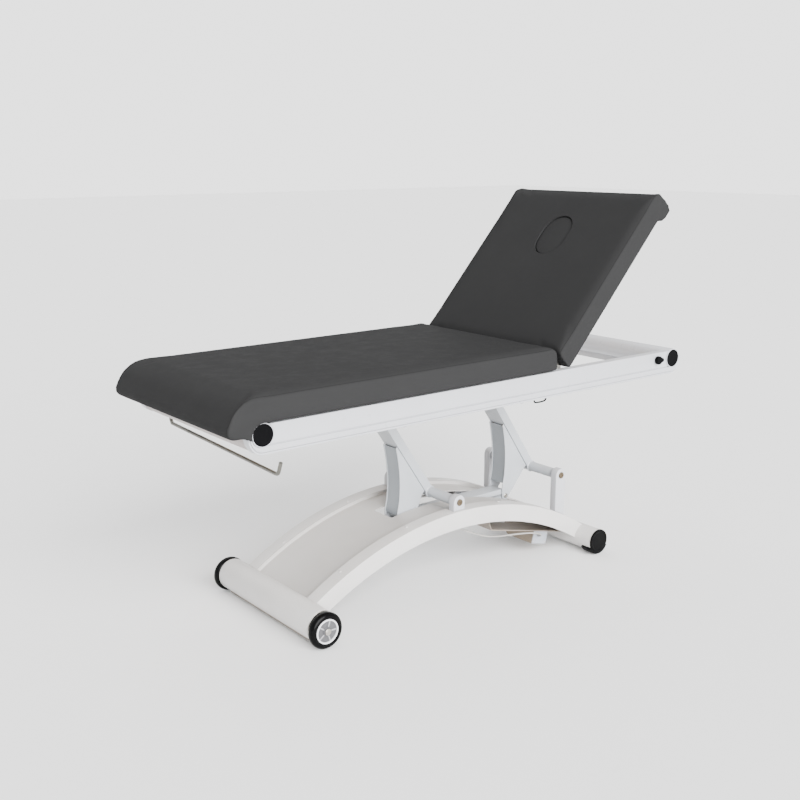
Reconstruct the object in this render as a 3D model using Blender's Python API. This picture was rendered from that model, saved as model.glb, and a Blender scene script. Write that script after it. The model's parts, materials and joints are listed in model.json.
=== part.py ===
"""Electric examination couch: arched base, two parallel lift arms, bed frame and hinged backrest.

Metres, +Z up. X runs along the couch with the head end at +X, the near side is -Y, and the
origin lies on the floor under the middle of the couch. The lift stands part-way up and the
backrest is raised. Every moving group hangs from an empty that sits on its joint's axis.
"""
import math

import bmesh
import bpy
from mathutils import Matrix, Vector

GAP = 0.0003                 # clearance between pieces that touch
TAU = 2.0 * math.pi

# Arched base
ARCH_R, ARCH_APEX = 1.100, 0.275           # top arc: radius and height of its crown
SOFFIT_R, SOFFIT_APEX = 1.065, 0.214       # lower arc of the side rails
ARCH_OUT, ARCH_IN = 0.200, 0.150           # half widths: outer wall and inner edge of the rims
SHEET = 0.003                              # pressed sheet
DECK_DROP = 0.012                          # the deck lies this far below the rims
SLOT_FOOT, SLOT_HEAD, SLOT_HALF = -0.176, 0.476, 0.048
FOOT_TUBE, FOOT_TUBE_R = (-0.611, 0.063), 0.0510
HEAD_TUBE, HEAD_TUBE_R = (0.611, 0.049), 0.0425
FOOT_TUBE_HALF, HEAD_TUBE_HALF = 0.262, 0.272
WHEEL_R, WHEEL_IN, WHEEL_OUT = 0.057, 0.269, 0.300
WHEEL_AXIS = (-0.611, 0.057)

# Lift pivots and arms, in the X-Z plane
FRONT_PIVOT, REAR_PIVOT = (0.001, 0.303), (0.491, 0.303)
PILLAR_HALF, PILLAR_OUT, PILLAR_IN = 0.024, 0.190, 0.162
PIVOT_TUBE_R, PIVOT_SHAFT_R = 0.0175, 0.0095
ARM_ANGLE, ARM_LENGTH = math.radians(55.9), 0.4468
ARM_HALF_Y, ARM_HALF_T, ARM_WALL = 0.040, 0.015, 0.003
GUSSET_HALF_Y, GUSSET_WALL = 0.036, 0.004
LEVER = (-0.126, -0.090)                   # link pin, seen from the pivot
PUSH = (-0.100, -0.120)                    # actuator pin, seen from the front pivot
LINK_HALF_Y, LINK_HALF_Z = 0.0305, 0.025
ACT_Y, ACT_ANCHOR = 0.085, (0.260, 0.180)  # the actuator's plane and its fixed pin

# Bed frame
BED_HALF = 0.950                           # half the length of the couch
RAIL_OUT, RAIL_IN = 0.335, 0.305
RAIL_TOP, RAIL_BOTTOM = 0.735, 0.650
END_TUBE_Z, END_TUBE_R = 0.7065, 0.0345
RAIL_NOSE = 0.045                          # rail end beyond the end tube's axis
HEAD_END_X, FOOT_END_X = BED_HALF - RAIL_NOSE, -0.837
CUSHION_TOP, CUSHION_HALF = 0.815, 0.350
BOARD_BOTTOM, BOARD_TOP = 0.7285, 0.7390
SEAT_END = 0.290
ROLL_X, ROLL_Y = -0.780, 0.320
ROLL_ROD = 0.0055

# Backrest: a runs along it from the hinge, h stands out of its face
HINGE = (0.3343, 0.775)
BACK_ANGLE = math.radians(47.8)
BACK_LENGTH, BACK_FACE, BACK_UNDER = 0.700, 0.040, -0.030
BOARD_LENGTH = 0.530                       # the backrest's board stops short of the head end tube
SPRING_R, SPRING_Y = 0.170, 0.150          # gas spring pins stand at equal distances from the hinge
SPRING_FIXED_DIR, SPRING_BACK_DIR = math.radians(-100.0), math.radians(-28.0)

PAINT = ("white_paint", (0.80, 0.81, 0.83), 0.35, 0.0)
BASE_PAINT = ("warm_paint", (0.70, 0.68, 0.67), 0.40, 0.0)
STEEL = ("zinc_steel", (0.62, 0.60, 0.55), 0.35, 1.0)
BRASS = ("yellow_zinc", (0.55, 0.45, 0.25), 0.35, 1.0)
BLACK = ("black_plastic", (0.02, 0.02, 0.02), 0.5, 0.0)
RUBBER = ("black_rubber", (0.025, 0.025, 0.025), 0.8, 0.0)
GREY = ("grey_plastic", (0.55, 0.55, 0.56), 0.5, 0.0)
COVER = ("charcoal_cover", (0.07, 0.07, 0.07), 0.5, 0.0)
WOOD = ("plywood", (0.55, 0.40, 0.25), 0.7, 0.0)


# ------------------------------------------------------------------ building blocks
def material(spec):
    """Return the Principled material of a finish, made once."""
    name, colour, roughness, metallic = spec
    if name in bpy.data.materials:
        return bpy.data.materials[name]
    mat = bpy.data.materials.new(name)
    mat.use_nodes = True
    shader = mat.node_tree.nodes["Principled BSDF"]
    shader.inputs["Base Color"].default_value = (*colour, 1.0)
    shader.inputs["Roughness"].default_value = roughness
    shader.inputs["Metallic"].default_value = metallic
    return mat


def joint_empty(name, x, y, z, parent=None, tilt=0.0):
    """Return an empty on a joint's axis; tilt turns it about Y."""
    empty = bpy.data.objects.new(name, None)
    bpy.context.scene.collection.objects.link(empty)
    empty.rotation_euler = (0.0, tilt, 0.0)
    empty.location = (x, y, z)
    if parent:
        empty.location = Vector((x, y, z)) - parent.location
        empty.parent = parent
    return empty


def add(name, bm, spec, parent=None, local=False, smooth=40.0):
    """Make one named object from a bmesh; local meshes are given in their parent's frame."""
    bmesh.ops.recalc_face_normals(bm, faces=bm.faces)
    mesh = bpy.data.meshes.new(name)
    bm.to_mesh(mesh)
    bm.free()
    mesh.materials.append(material(spec))
    mesh.shade_smooth()
    mesh.set_sharp_from_angle(angle=math.radians(smooth))
    obj = bpy.data.objects.new(name, mesh)
    bpy.context.scene.collection.objects.link(obj)
    if parent:
        obj.parent = parent
        if not local:
            bpy.context.view_layer.update()
            obj.location = -parent.matrix_world.translation
    return obj


def combine(obj, tools, operation):
    """Cut or join hidden tool shapes with an object; the tools share its parent and place."""
    for index, bm in enumerate(tools):
        tool = add(f"{obj.name}_{operation.lower()}_{index}", bm, PAINT, obj.parent, local=True)
        tool.location = obj.location
        tool.hide_render = True
        tool.display_type = 'WIRE'
        modifier = obj.modifiers.new(f"{operation.lower()}_{index}", 'BOOLEAN')
        modifier.operation = operation
        modifier.object = tool
        modifier.solver = 'EXACT'
    return obj


def arc(cx, cz, rx, start, end, steps, rz=None):
    """Points on an arc in the X-Z plane, angles in degrees from +X towards +Z."""
    rz = rx if rz is None else rz
    turn = [math.radians(start + (end - start) * i / steps) for i in range(steps + 1)]
    return [(cx + rx * math.cos(t), cz + rz * math.sin(t)) for t in turn]


def prism(outline, y0, y1):
    """Extrude an X-Z outline along Y."""
    bm = bmesh.new()
    face = bm.faces.new([bm.verts.new((x, y0, z)) for x, z in outline])
    grown = bmesh.ops.extrude_face_region(bm, geom=[face])
    moved = [v for v in grown["geom"] if isinstance(v, bmesh.types.BMVert)]
    bmesh.ops.translate(bm, verts=moved, vec=(0.0, y1 - y0, 0.0))
    return bm


def pan(outline, y0, y1, wall):
    """A prism hollowed from its y1 side, leaving a wall all round and at y0."""
    bm = prism(outline, y0, y1)
    bmesh.ops.recalc_face_normals(bm, faces=bm.faces)
    front = [f for f in bm.faces if all(abs(v.co.y - y1) < 1e-7 for v in f.verts)]
    bmesh.ops.inset_region(bm, faces=front, thickness=wall, use_even_offset=True)
    grown = bmesh.ops.extrude_face_region(bm, geom=front)
    moved = [v for v in grown["geom"] if isinstance(v, bmesh.types.BMVert)]
    depth = (y0 - y1) + math.copysign(wall, y1 - y0)
    bmesh.ops.translate(bm, verts=moved, vec=(0.0, depth, 0.0))
    bmesh.ops.delete(bm, geom=front, context='FACES_ONLY')
    return bm


def box(low, high):
    """A box between two corners."""
    bm = bmesh.new()
    low, high = Vector(low), Vector(high)
    size = Matrix.Diagonal((*(high - low), 1.0))
    bmesh.ops.create_cube(bm, size=1.0, matrix=Matrix.Translation((low + high) / 2.0) @ size)
    return bm


def lathe(profile, centre, axis=(0.0, 1.0, 0.0), steps=20):
    """Turn (radius, distance) points about an axis; a profile clear of the axis is closed."""
    bm = bmesh.new()
    verts = [bm.verts.new((radius, 0.0, along)) for radius, along in profile]
    edges = [bm.edges.new(pair) for pair in zip(verts, verts[1:])]
    if min(radius for radius, _ in profile) > 0.0:
        edges.append(bm.edges.new((verts[-1], verts[0])))
    bmesh.ops.spin(bm, geom=verts + edges, axis=(0, 0, 1), cent=(0, 0, 0), angle=TAU,
                   steps=steps, use_merge=True)
    bmesh.ops.remove_doubles(bm, verts=bm.verts, dist=1e-6)
    turn = Vector(axis).to_track_quat('Z', 'Y').to_matrix().to_4x4()
    bmesh.ops.transform(bm, matrix=Matrix.Translation(centre) @ turn, verts=bm.verts)
    return bm


def rod(radius, start, end, steps=12):
    """A plain round bar between two points."""
    start, end = Vector(start), Vector(end)
    length = (end - start).length
    return lathe([(0, 0), (radius, 0), (radius, length), (0, length)], start, end - start, steps)


def pipe(outer, inner, start, end, steps=20):
    """A round tube, open at both ends, between two points."""
    start, end = Vector(start), Vector(end)
    length = (end - start).length
    profile = [(inner, 0), (outer, 0), (outer, length), (inner, length)]
    return lathe(profile, start, end - start, steps)


def cross_bar(radius, x, z, half, steps=16):
    """A round bar along Y, centred on the couch's middle plane."""
    return rod(radius, (x, -half, z), (x, half, z), steps)


def wire(name, points, radius, spec, parent=None):
    """A round wire along a smooth curve through its route points."""
    curve = bpy.data.curves.new(name, 'CURVE')
    curve.dimensions = '3D'
    curve.bevel_depth = radius
    curve.bevel_resolution = 2
    curve.use_fill_caps = True
    spline = curve.splines.new('POLY')
    spline.points.add(len(points) - 1)
    for target, point in zip(spline.points, points):
        target.co = (*point, 1.0)
    curve.materials.append(material(spec))
    obj = bpy.data.objects.new(name, curve)
    bpy.context.scene.collection.objects.link(obj)
    if parent:
        obj.parent = parent
        obj.location = -parent.matrix_world.translation
    return obj


def smooth_route(points, step):
    """Read a Catmull-Rom curve through the route points at an even spacing."""
    pts = [Vector(p) for p in points]
    pts = [2 * pts[0] - pts[1], *pts, 2 * pts[-1] - pts[-2]]
    dense = []
    for p0, p1, p2, p3 in zip(pts, pts[1:], pts[2:], pts[3:]):
        for k in range(40):
            t = k / 40
            dense.append(0.5 * (2 * p1 + (p2 - p0) * t + (2 * p0 - 5 * p1 + 4 * p2 - p3) * t * t
                                + (3 * p1 - p0 - 3 * p2 + p3) * t ** 3))
    dense.append(pts[-2])
    lengths = [0.0]
    for a, b in zip(dense, dense[1:]):
        lengths.append(lengths[-1] + (b - a).length)
    count = max(2, round(lengths[-1] / step))
    route, index = [], 0
    for k in range(count + 1):
        goal = lengths[-1] * k / count
        while index < len(lengths) - 2 and lengths[index + 1] < goal:
            index += 1
        span = lengths[index + 1] - lengths[index]
        route.append(dense[index].lerp(dense[index + 1], (goal - lengths[index]) / span))
    return route


def circles_meet(c1, r1, c2, r2, pick):
    """The meeting point of two circles for which pick gives the largest value."""
    c1, c2 = Vector(c1), Vector(c2)
    gap = c2 - c1
    along = (r1 * r1 - r2 * r2 + gap.length_squared) / (2 * gap.length)
    rise = math.sqrt(r1 * r1 - along * along)
    unit = gap.normalized()
    side = Vector((-unit.y, unit.x))
    return max((c1 + unit * along + side * rise, c1 + unit * along - side * rise), key=pick)


def angle_at(centre, point):
    """Angle of a point about a centre, in degrees."""
    return math.degrees(math.atan2(point[1] - centre[1], point[0] - centre[0]))


def turned(point, centre, angle):
    """Turn an X-Z point about a centre, raising +X towards +Z."""
    x, z = point[0] - centre[0], point[1] - centre[1]
    c, s = math.cos(angle), math.sin(angle)
    return (centre[0] + x * c - z * s, centre[1] + x * s + z * c)


# ------------------------------------------------------------------ base
ARCH_C, SOFFIT_C = (0.0, ARCH_APEX - ARCH_R), (0.0, SOFFIT_APEX - SOFFIT_R)


def arch_height(x):
    """Height of the arch's top at x."""
    return ARCH_C[1] + math.sqrt(ARCH_R ** 2 - x * x)


def deck_under(x):
    """Height of the deck's underside at x, less its clearance."""
    return ARCH_C[1] + math.sqrt((ARCH_R - DECK_DROP - SHEET) ** 2 - x * x) - 2 * GAP


def arch_outline():
    """Side view of an arch rail, its ends cut to the two cross tubes."""
    foot_r, head_r = FOOT_TUBE_R + GAP, HEAD_TUBE_R + GAP
    top_foot = circles_meet(ARCH_C, ARCH_R, FOOT_TUBE, foot_r, lambda p: p.x)
    low_foot = circles_meet(SOFFIT_C, SOFFIT_R, FOOT_TUBE, foot_r, lambda p: p.x)
    top_head = circles_meet(ARCH_C, ARCH_R, HEAD_TUBE, head_r, lambda p: -p.x)
    low_head = circles_meet(SOFFIT_C, SOFFIT_R, HEAD_TUBE, head_r, lambda p: -p.x)
    top = arc(*ARCH_C, ARCH_R, angle_at(ARCH_C, top_foot), angle_at(ARCH_C, top_head), 24)
    head = arc(*HEAD_TUBE, head_r, angle_at(HEAD_TUBE, top_head),
               angle_at(HEAD_TUBE, low_head) % 360, 9)
    low = arc(*SOFFIT_C, SOFFIT_R, angle_at(SOFFIT_C, low_head), angle_at(SOFFIT_C, low_foot), 20)
    foot = arc(*FOOT_TUBE, foot_r, angle_at(FOOT_TUBE, low_foot),
               angle_at(FOOT_TUBE, top_foot), 8)
    return top + head[1:-1] + low + foot[1:-1]


def build_arch():
    """Two pressed arch rails with the slotted deck between their rims."""
    for side, name in ((-1, "near_arch_rail"), (1, "far_arch_rail")):
        add(name, pan(arch_outline(), side * ARCH_OUT, side * ARCH_IN, SHEET), BASE_PAINT,
            smooth=25.0)
    half, flange = ARCH_IN - GAP, ARCH_IN - GAP - SHEET
    under = ARCH_R - DECK_DROP - SHEET
    section = [(-half, ARCH_R), (-flange, ARCH_R), (-flange, under + SHEET), (flange, under + SHEET),
               (flange, ARCH_R), (half, ARCH_R), (half, under), (-half, under)]
    start, end, steps = math.radians(-33.05), math.radians(34.2), 20
    bm = bmesh.new()
    loop = []
    for y, radius in section:
        loop.append(bm.verts.new((radius * math.sin(start), y, ARCH_C[1] + radius * math.cos(start))))
    face = bm.faces.new(loop)
    bmesh.ops.spin(bm, geom=[face, *face.edges, *face.verts], axis=(0, 1, 0),
                   cent=(0, 0, ARCH_C[1]), angle=end - start, steps=steps)
    deck = add("arch_deck", bm, BASE_PAINT, smooth=25.0)
    combine(deck, [
        box((SLOT_FOOT, -SLOT_HALF, 0.05), (SLOT_HEAD, SLOT_HALF, 0.35)),
        cross_bar(FOOT_TUBE_R + GAP, *FOOT_TUBE, 0.2, 20),
        cross_bar(HEAD_TUBE_R + GAP, *HEAD_TUBE, 0.2, 20),
    ], 'DIFFERENCE')


def build_floor_tubes():
    """Cross tubes with the moulded feet at the head end and the stub axles at the foot end."""
    for name, centre, radius, half in (
            ("foot_cross_tube", FOOT_TUBE, FOOT_TUBE_R, FOOT_TUBE_HALF),
            ("head_cross_tube", HEAD_TUBE, HEAD_TUBE_R, HEAD_TUBE_HALF)):
        add(name, pipe(radius, radius - SHEET, (centre[0], -half, centre[1]),
                       (centre[0], half, centre[1])), BASE_PAINT)
    for side, end in ((-1, "near"), (1, "far")):
        axis = (0.0, float(side), 0.0)
        inside = HEAD_TUBE_R - SHEET - GAP
        cap = lathe([(0, 0.252), (inside, 0.252), (inside, HEAD_TUBE_HALF + GAP),
                     (HEAD_TUBE_R + 0.001, HEAD_TUBE_HALF + GAP), (HEAD_TUBE_R + 0.001, 0.2775),
                     (HEAD_TUBE_R - 0.004, 0.2795), (0, 0.2795)],
                    (HEAD_TUBE[0], 0.0, HEAD_TUBE[1]), axis)
        foot = add(f"floor_foot_{end}", cap, RUBBER)
        sole = HEAD_TUBE[1] / math.cos(math.radians(8))
        shoe = (arc(*HEAD_TUBE, sole, 207, 262, 6) + arc(*HEAD_TUBE, sole, 278, 333, 6)
                + arc(*HEAD_TUBE, HEAD_TUBE_R + GAP, 333, 207, 14))
        combine(foot, [prism(shoe, side * 0.231, side * 0.2785)], 'UNION')

        inside = FOOT_TUBE_R - SHEET - GAP
        plug = lathe([(0, 0.240), (inside, 0.240), (inside, FOOT_TUBE_HALF + GAP),
                      (FOOT_TUBE_R - 0.001, FOOT_TUBE_HALF + GAP), (FOOT_TUBE_R - 0.001, 0.2655),
                      (0, 0.2655)], (FOOT_TUBE[0], 0.0, FOOT_TUBE[1]), axis)
        axle = add(f"wheel_axle_{end}", plug, STEEL)
        pin = lathe([(0, 0.262), (0.008, 0.262), (0.008, WHEEL_OUT - 0.0022), (0.0105, WHEEL_OUT - 0.0022),
                     (0.0105, WHEEL_OUT), (0, WHEEL_OUT)], (WHEEL_AXIS[0], 0.0, WHEEL_AXIS[1]), axis, 12)
        combine(axle, [pin], 'UNION')


def build_wheels():
    """Two transport wheels: a tyre on a hub, free on the stub axles."""
    for side, end in ((-1, "near"), (1, "far")):
        mid = side * (WHEEL_IN + WHEEL_OUT) / 2
        hinge = joint_empty(f"{end}_wheel_axis", WHEEL_AXIS[0], mid, WHEEL_AXIS[1])
        axis = (0.0, float(side), 0.0)
        centre = (WHEEL_AXIS[0], 0.0, WHEEL_AXIS[1])
        low, high, seat = WHEEL_IN, WHEEL_OUT - 0.0035, 0.037
        tyre = [(seat, low + 0.002), (WHEEL_R - 0.008, low), (WHEEL_R - 0.002, low + 0.004),
                (WHEEL_R, low + 0.009), (WHEEL_R, high - 0.009), (WHEEL_R - 0.002, high - 0.004),
                (WHEEL_R - 0.008, high), (seat, high - 0.002)]
        add(f"{end}_tyre", lathe(tyre, centre, axis, 24), RUBBER, hinge)
        hub = [(0.0083, low + 0.001), (0.014, low + 0.001), (0.016, low + 0.006),
               (seat - 0.007, low + 0.006), (seat - GAP, low + 0.003), (seat - GAP, high - 0.003),
               (seat - 0.007, high - 0.005), (0.016, high - 0.004), (0.014, high), (0.0083, high)]
        add(f"{end}_hub", lathe(hub, centre, axis, 24), GREY, hinge)


def build_pivots():
    """Four round-topped pillars on the rims, with a shaft through each pair."""
    for name, (x, z) in (("front", FRONT_PIVOT), ("rear", REAR_PIVOT)):
        rims = [x + PILLAR_HALF * (1 - i / 3) for i in range(7)]
        foot = [(at, arch_height(at) + 2 * GAP) for at in rims]
        outline = arc(x, z, PILLAR_HALF, 0, 180, 12) + foot[::-1]
        for side, end in ((-1, "near"), (1, "far")):
            pillar = add(f"{name}_pillar_{end}",
                         prism(outline, side * PILLAR_OUT, side * PILLAR_IN), PAINT)
            combine(pillar, [cross_bar(PIVOT_SHAFT_R + 0.0005, x, z, 0.21)], 'DIFFERENCE')
        face, head = PILLAR_OUT + GAP, PILLAR_OUT + 0.004
        profile = [(0, -head), (0.012, -head), (0.012, -face), (PIVOT_SHAFT_R, -face),
                   (PIVOT_SHAFT_R, face), (0.012, face), (0.012, head), (0, head)]
        add(f"{name}_pivot_shaft", lathe(profile, (x, 0.0, z), steps=16), BRASS)


CONTROL_TILT = math.radians(13.5)
CONTROL_AT = Vector((0.457, 0.0, 0.0835))          # middle of the control box's top edge
LEAD_ROUTE = [(-0.012, -0.118, 0.2582), (-0.006, -0.119, 0.2440), (0.004, -0.120, 0.2270),
              (0.020, -0.122, 0.2060), (0.044, -0.125, 0.1880), (0.080, -0.129, 0.1690),
              (0.125, -0.133, 0.1480), (0.170, -0.137, 0.1300), (0.220, -0.141, 0.1180),
              (0.275, -0.145, 0.1110), (0.330, -0.149, 0.1050), (0.375, -0.153, 0.0985),
              (0.405, -0.156, 0.0915), (0.425, -0.1565, 0.0840), (0.4365, -0.152, 0.0760),
              (0.4405, -0.1440, 0.0712), (0.4410, -0.1345, 0.0705)]


def build_controls():
    """Sloping shelf, control box with its end panel and inlet, actuator bracket and its lead."""
    slope = -math.tan(CONTROL_TILT)
    top = [(0.150, deck_under(0.150)), (0.195, 0.1500),
           (0.562, 0.1500 + slope * 0.367)]
    low = [(0.562, top[2][1] - SHEET), (0.193, 0.1500 - SHEET), (0.146, top[0][1] - GAP)]
    add("control_tray", prism(top + low, -0.1460, -0.0380), BASE_PAINT)

    half_x, deep, near, far, corner = 0.037, 0.050, -0.130, 0.020, 0.040
    turn = Matrix.Translation(CONTROL_AT) @ Matrix.Rotation(CONTROL_TILT, 4, 'Y')
    side_view = [(near, 0.0), (near, -deep), *arc(far - corner, -deep + corner, corner, -90, 0, 6),
                 (far, 0.0)]
    case = bmesh.new()
    face = case.faces.new([case.verts.new((-half_x, y, z)) for y, z in side_view])
    grown = bmesh.ops.extrude_face_region(case, geom=[face])
    moved = [v for v in grown["geom"] if isinstance(v, bmesh.types.BMVert)]
    bmesh.ops.translate(case, verts=moved, vec=(2 * half_x, 0.0, 0.0))
    bmesh.ops.transform(case, matrix=turn, verts=case.verts)
    add("control_box", case, GREY)
    panel = box((-half_x + 0.001, near - 0.0033, -deep + 0.001), (half_x - 0.001, near - GAP, -0.001))
    bmesh.ops.transform(panel, matrix=turn, verts=panel.verts)
    add("control_box_panel", panel, GREY)
    inlet = pan([(-0.014, -0.035), (0.014, -0.035), (0.014, -0.013), (-0.014, -0.013)],
                0.0, 0.014, 0.003)
    spin = Matrix.Rotation(-math.pi / 2, 4, 'Z')
    bmesh.ops.transform(inlet, matrix=turn @ Matrix.Translation((half_x + GAP, -0.060, 0.0)) @ spin,
                        verts=inlet.verts)
    add("power_inlet", inlet, BLACK)

    x, z = ACT_ANCHOR
    roof = [(at, deck_under(at)) for at in (x + 0.022, x, x - 0.022)]
    clevis = arc(x, z, 0.014, 200, 340, 8) + roof
    anchor = add("actuator_anchor", prism(clevis, ACT_Y - 0.018, ACT_Y + 0.018), PAINT)
    combine(anchor, [box((x - 0.03, ACT_Y - 0.0135, z - 0.02), (x + 0.03, ACT_Y + 0.0135, z + 0.030))],
            'DIFFERENCE')
    combine(anchor, [rod(0.005, (x, ACT_Y - 0.022, z), (x, ACT_Y + 0.022, z))], 'UNION')
    wire("actuator_lead", smooth_route(LEAD_ROUTE, 0.017), 0.003, GREY)


# ------------------------------------------------------------------ lift
def on_arm(along, across):
    """Point on an arm, seen from its base pivot; across is positive on the head side."""
    c, s = math.cos(ARM_ANGLE), math.sin(ARM_ANGLE)
    return (-along * c + across * s, along * s + across * c)


def arm_outline(half, bottom):
    """Side view of an arm tube: bottom end, straight sides and a round top."""
    top = on_arm(ARM_LENGTH, 0.0)
    start = math.degrees(ARM_ANGLE)
    lean = 90.0 - start
    return bottom + arc(*top, half, lean, lean + 180.0, 10)


GUSSET_BACK = [(-0.147, 0.176), (-0.1385, 0.133), (-0.1325, 0.087), (-0.1310, 0.045),
               (-0.1325, 0.005), (-0.1370, -0.028), (-0.1405, -0.042), (-0.1425, -0.060)]
SHEET_END = 7                      # the closing sheet ends at this point of the back edge


def gusset_outline(with_push):
    """Side view of a gusset plate, seen from the pivot."""
    tip = arc(*LEVER, 0.0165, 190, 300, 7)
    if with_push:
        tip = arc(*LEVER, 0.0165, 190, 215, 3) + arc(*PUSH, 0.0155, 225, 330, 6)
    arm_side = ARM_HALF_T + GAP
    up = [(-0.034, -0.004), on_arm(0.0185, -arm_side), on_arm(0.232, -arm_side)]
    return GUSSET_BACK + tip + up


def build_arm(name, pivot, with_push):
    """One lift arm: tube, gusset with the lever, pivot tube, top axle and link pin."""
    hinge = joint_empty(f"{name}_arm_axis", pivot[0], 0.0, pivot[1])
    mouth_r = PIVOT_TUBE_R + GAP
    reach = math.degrees(math.asin(ARM_HALF_T / mouth_r))
    lean = 180.0 - math.degrees(ARM_ANGLE)
    mouth = arc(0.0, 0.0, mouth_r, lean + reach, lean - reach, 8)
    tube = add(f"{name}_arm_tube", prism(arm_outline(ARM_HALF_T, mouth), -ARM_HALF_Y, ARM_HALF_Y),
               PAINT, hinge, local=True)
    inner, wall = ARM_HALF_T - ARM_WALL, ARM_HALF_Y - ARM_WALL
    bore = [on_arm(-0.03, -inner), on_arm(-0.03, inner), on_arm(0.50, inner), on_arm(0.50, -inner)]
    top = on_arm(ARM_LENGTH, 0.0)
    combine(tube, [prism(bore, -wall, wall), cross_bar(0.0083, *top, 0.05)], 'DIFFERENCE')

    gusset = add(f"{name}_arm_gusset", prism(gusset_outline(with_push), -GUSSET_HALF_Y, GUSSET_HALF_Y),
                 PAINT, hinge, local=True)
    inside = [(x + GUSSET_WALL, z) for x, z in GUSSET_BACK[:SHEET_END]]
    cavity = ([(inside[0][0] + 0.002, 0.22)] + inside
              + [(-0.22, GUSSET_BACK[SHEET_END - 1][1] - 0.0005), (-0.22, -0.22), (0.08, -0.22),
                 (0.08, 0.22)])
    clear_y = GUSSET_HALF_Y - GUSSET_WALL
    combine(gusset, [prism(cavity, -clear_y, clear_y), cross_bar(0.0063, *LEVER, 0.05)], 'DIFFERENCE')
    if with_push:
        combine(gusset, [rod(0.006, (PUSH[0], GUSSET_HALF_Y - 0.003, PUSH[1]),
                             (PUSH[0], ACT_Y + 0.014, PUSH[1]))], 'UNION')

    length = PILLAR_IN - 0.0015
    add(f"{name}_pivot_tube", pipe(PIVOT_TUBE_R, PIVOT_SHAFT_R + 0.0015, (0, -length, 0), (0, length, 0)),
        PAINT, hinge, local=True)
    add(f"{name}_top_axle", cross_bar(0.008, *top, 0.050), STEEL, hinge, local=True)
    face, head = GUSSET_HALF_Y + GAP, GUSSET_HALF_Y + 0.0035
    profile = [(0, -head), (0.0085, -head), (0.0085, -face), (0.006, -face),
               (0.006, face), (0.0085, face), (0.0085, head), (0, head)]
    add(f"{name}_lever_pin", lathe(profile, (LEVER[0], 0.0, LEVER[1]), steps=12), STEEL,
        hinge, local=True)
    return hinge


def build_link(rear_hinge):
    """The box-section link that ties the two levers together."""
    near = FRONT_PIVOT[0] + LEVER[0]
    far = REAR_PIVOT[0] + LEVER[0]
    z = REAR_PIVOT[1] + LEVER[1]
    hinge = joint_empty("link_axis", far, 0.0, z, rear_hinge)
    bpy.context.view_layer.update()
    end = 0.018
    outline = [(near - end, z - 0.010), (near - end + 0.012, z - LINK_HALF_Z),
               (far + end - 0.012, z - LINK_HALF_Z), (far + end, z - 0.010), (far + end, z + 0.010),
               (far - 0.008, z + LINK_HALF_Z), (near - end + 0.012, z + LINK_HALF_Z),
               (near - end, z + 0.010)]
    link = add("link_bar", prism(outline, -LINK_HALF_Y, LINK_HALF_Y), PAINT, hinge)
    inner = [(near - 0.05, z - LINK_HALF_Z + SHEET), (far + 0.05, z - LINK_HALF_Z + SHEET),
             (far + 0.05, z + LINK_HALF_Z - SHEET), (near - 0.05, z + LINK_HALF_Z - SHEET)]
    combine(link, [prism(inner, -LINK_HALF_Y + SHEET, LINK_HALF_Y - SHEET),
                   cross_bar(0.0065, near, z, 0.05, 12), cross_bar(0.0065, far, z, 0.05, 12)],
            'DIFFERENCE')


def build_actuator(front_hinge):
    """Linear actuator: motor housing on the fixed pin, push rod on the front lever."""
    fixed = Vector((ACT_ANCHOR[0], ACT_Y, ACT_ANCHOR[1]))
    moving = Vector((FRONT_PIVOT[0] + PUSH[0], ACT_Y, FRONT_PIVOT[1] + PUSH[1]))
    line = (moving - fixed).normalized()
    body_axis = joint_empty("actuator_axis", *fixed)
    rod_axis = joint_empty("push_rod_axis", *moving, front_hinge)
    bpy.context.view_layer.update()
    down = line.cross(Vector((0, 1, 0)))
    down = down if down.z < 0 else -down

    barrel = [(0, -0.012), (0.0125, -0.012), (0.0125, 0.020), (0.022, 0.026), (0.022, 0.235),
              (0.018, 0.235), (0.018, 0.050), (0, 0.050)]
    housing = add("actuator_housing", lathe(barrel, fixed, line, 16), GREY, body_axis)
    motor_at = fixed + line * 0.030 + down * 0.046
    motor = lathe([(0, 0), (0.026, 0), (0.029, 0.004), (0.029, 0.098), (0.024, 0.104), (0, 0.104)],
                  motor_at, line, 16)
    gearbox = box((0.0, -0.0245, -0.070), (0.034, 0.0245, 0.022))
    frame = Matrix((line, (0, 1, 0), -down)).transposed().to_4x4()
    bmesh.ops.transform(gearbox, matrix=Matrix.Translation(fixed + line * 0.022) @ frame,
                        verts=gearbox.verts)
    combine(housing, [motor, gearbox], 'UNION')
    combine(housing, [rod(0.0058, fixed - Vector((0, 0.03, 0)), fixed + Vector((0, 0.03, 0)))],
            'DIFFERENCE')

    push = [(0, -0.012), (0.0118, -0.012), (0.0118, 0.016), (0.0085, 0.020), (0.0085, 0.200), (0, 0.200)]
    push_rod = add("actuator_rod", lathe(push, moving, -line, 16), STEEL, rod_axis)
    combine(push_rod, [rod(0.0068, moving - Vector((0, 0.03, 0)), moving + Vector((0, 0.03, 0)))],
            'DIFFERENCE')


# ------------------------------------------------------------------ bed frame
def rail_outline():
    """Side view of a bed rail; its ends curl round the end tubes."""
    notch = END_TUBE_R + GAP
    rise = RAIL_TOP - END_TUBE_Z
    open_at = math.degrees(math.asin(rise / notch))
    drop = END_TUBE_Z - RAIL_BOTTOM
    head_in = arc(HEAD_END_X, END_TUBE_Z, notch, 180 - open_at, 368, 18)
    head_out = arc(HEAD_END_X, END_TUBE_Z, RAIL_NOSE, 4, -90, 8, drop)
    foot_out = arc(FOOT_END_X, END_TUBE_Z, RAIL_NOSE, 270, 176, 8, drop)
    foot_in = arc(FOOT_END_X, END_TUBE_Z, notch, 172, 360 + open_at, 18)
    return head_in + head_out + foot_out + foot_in


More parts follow.
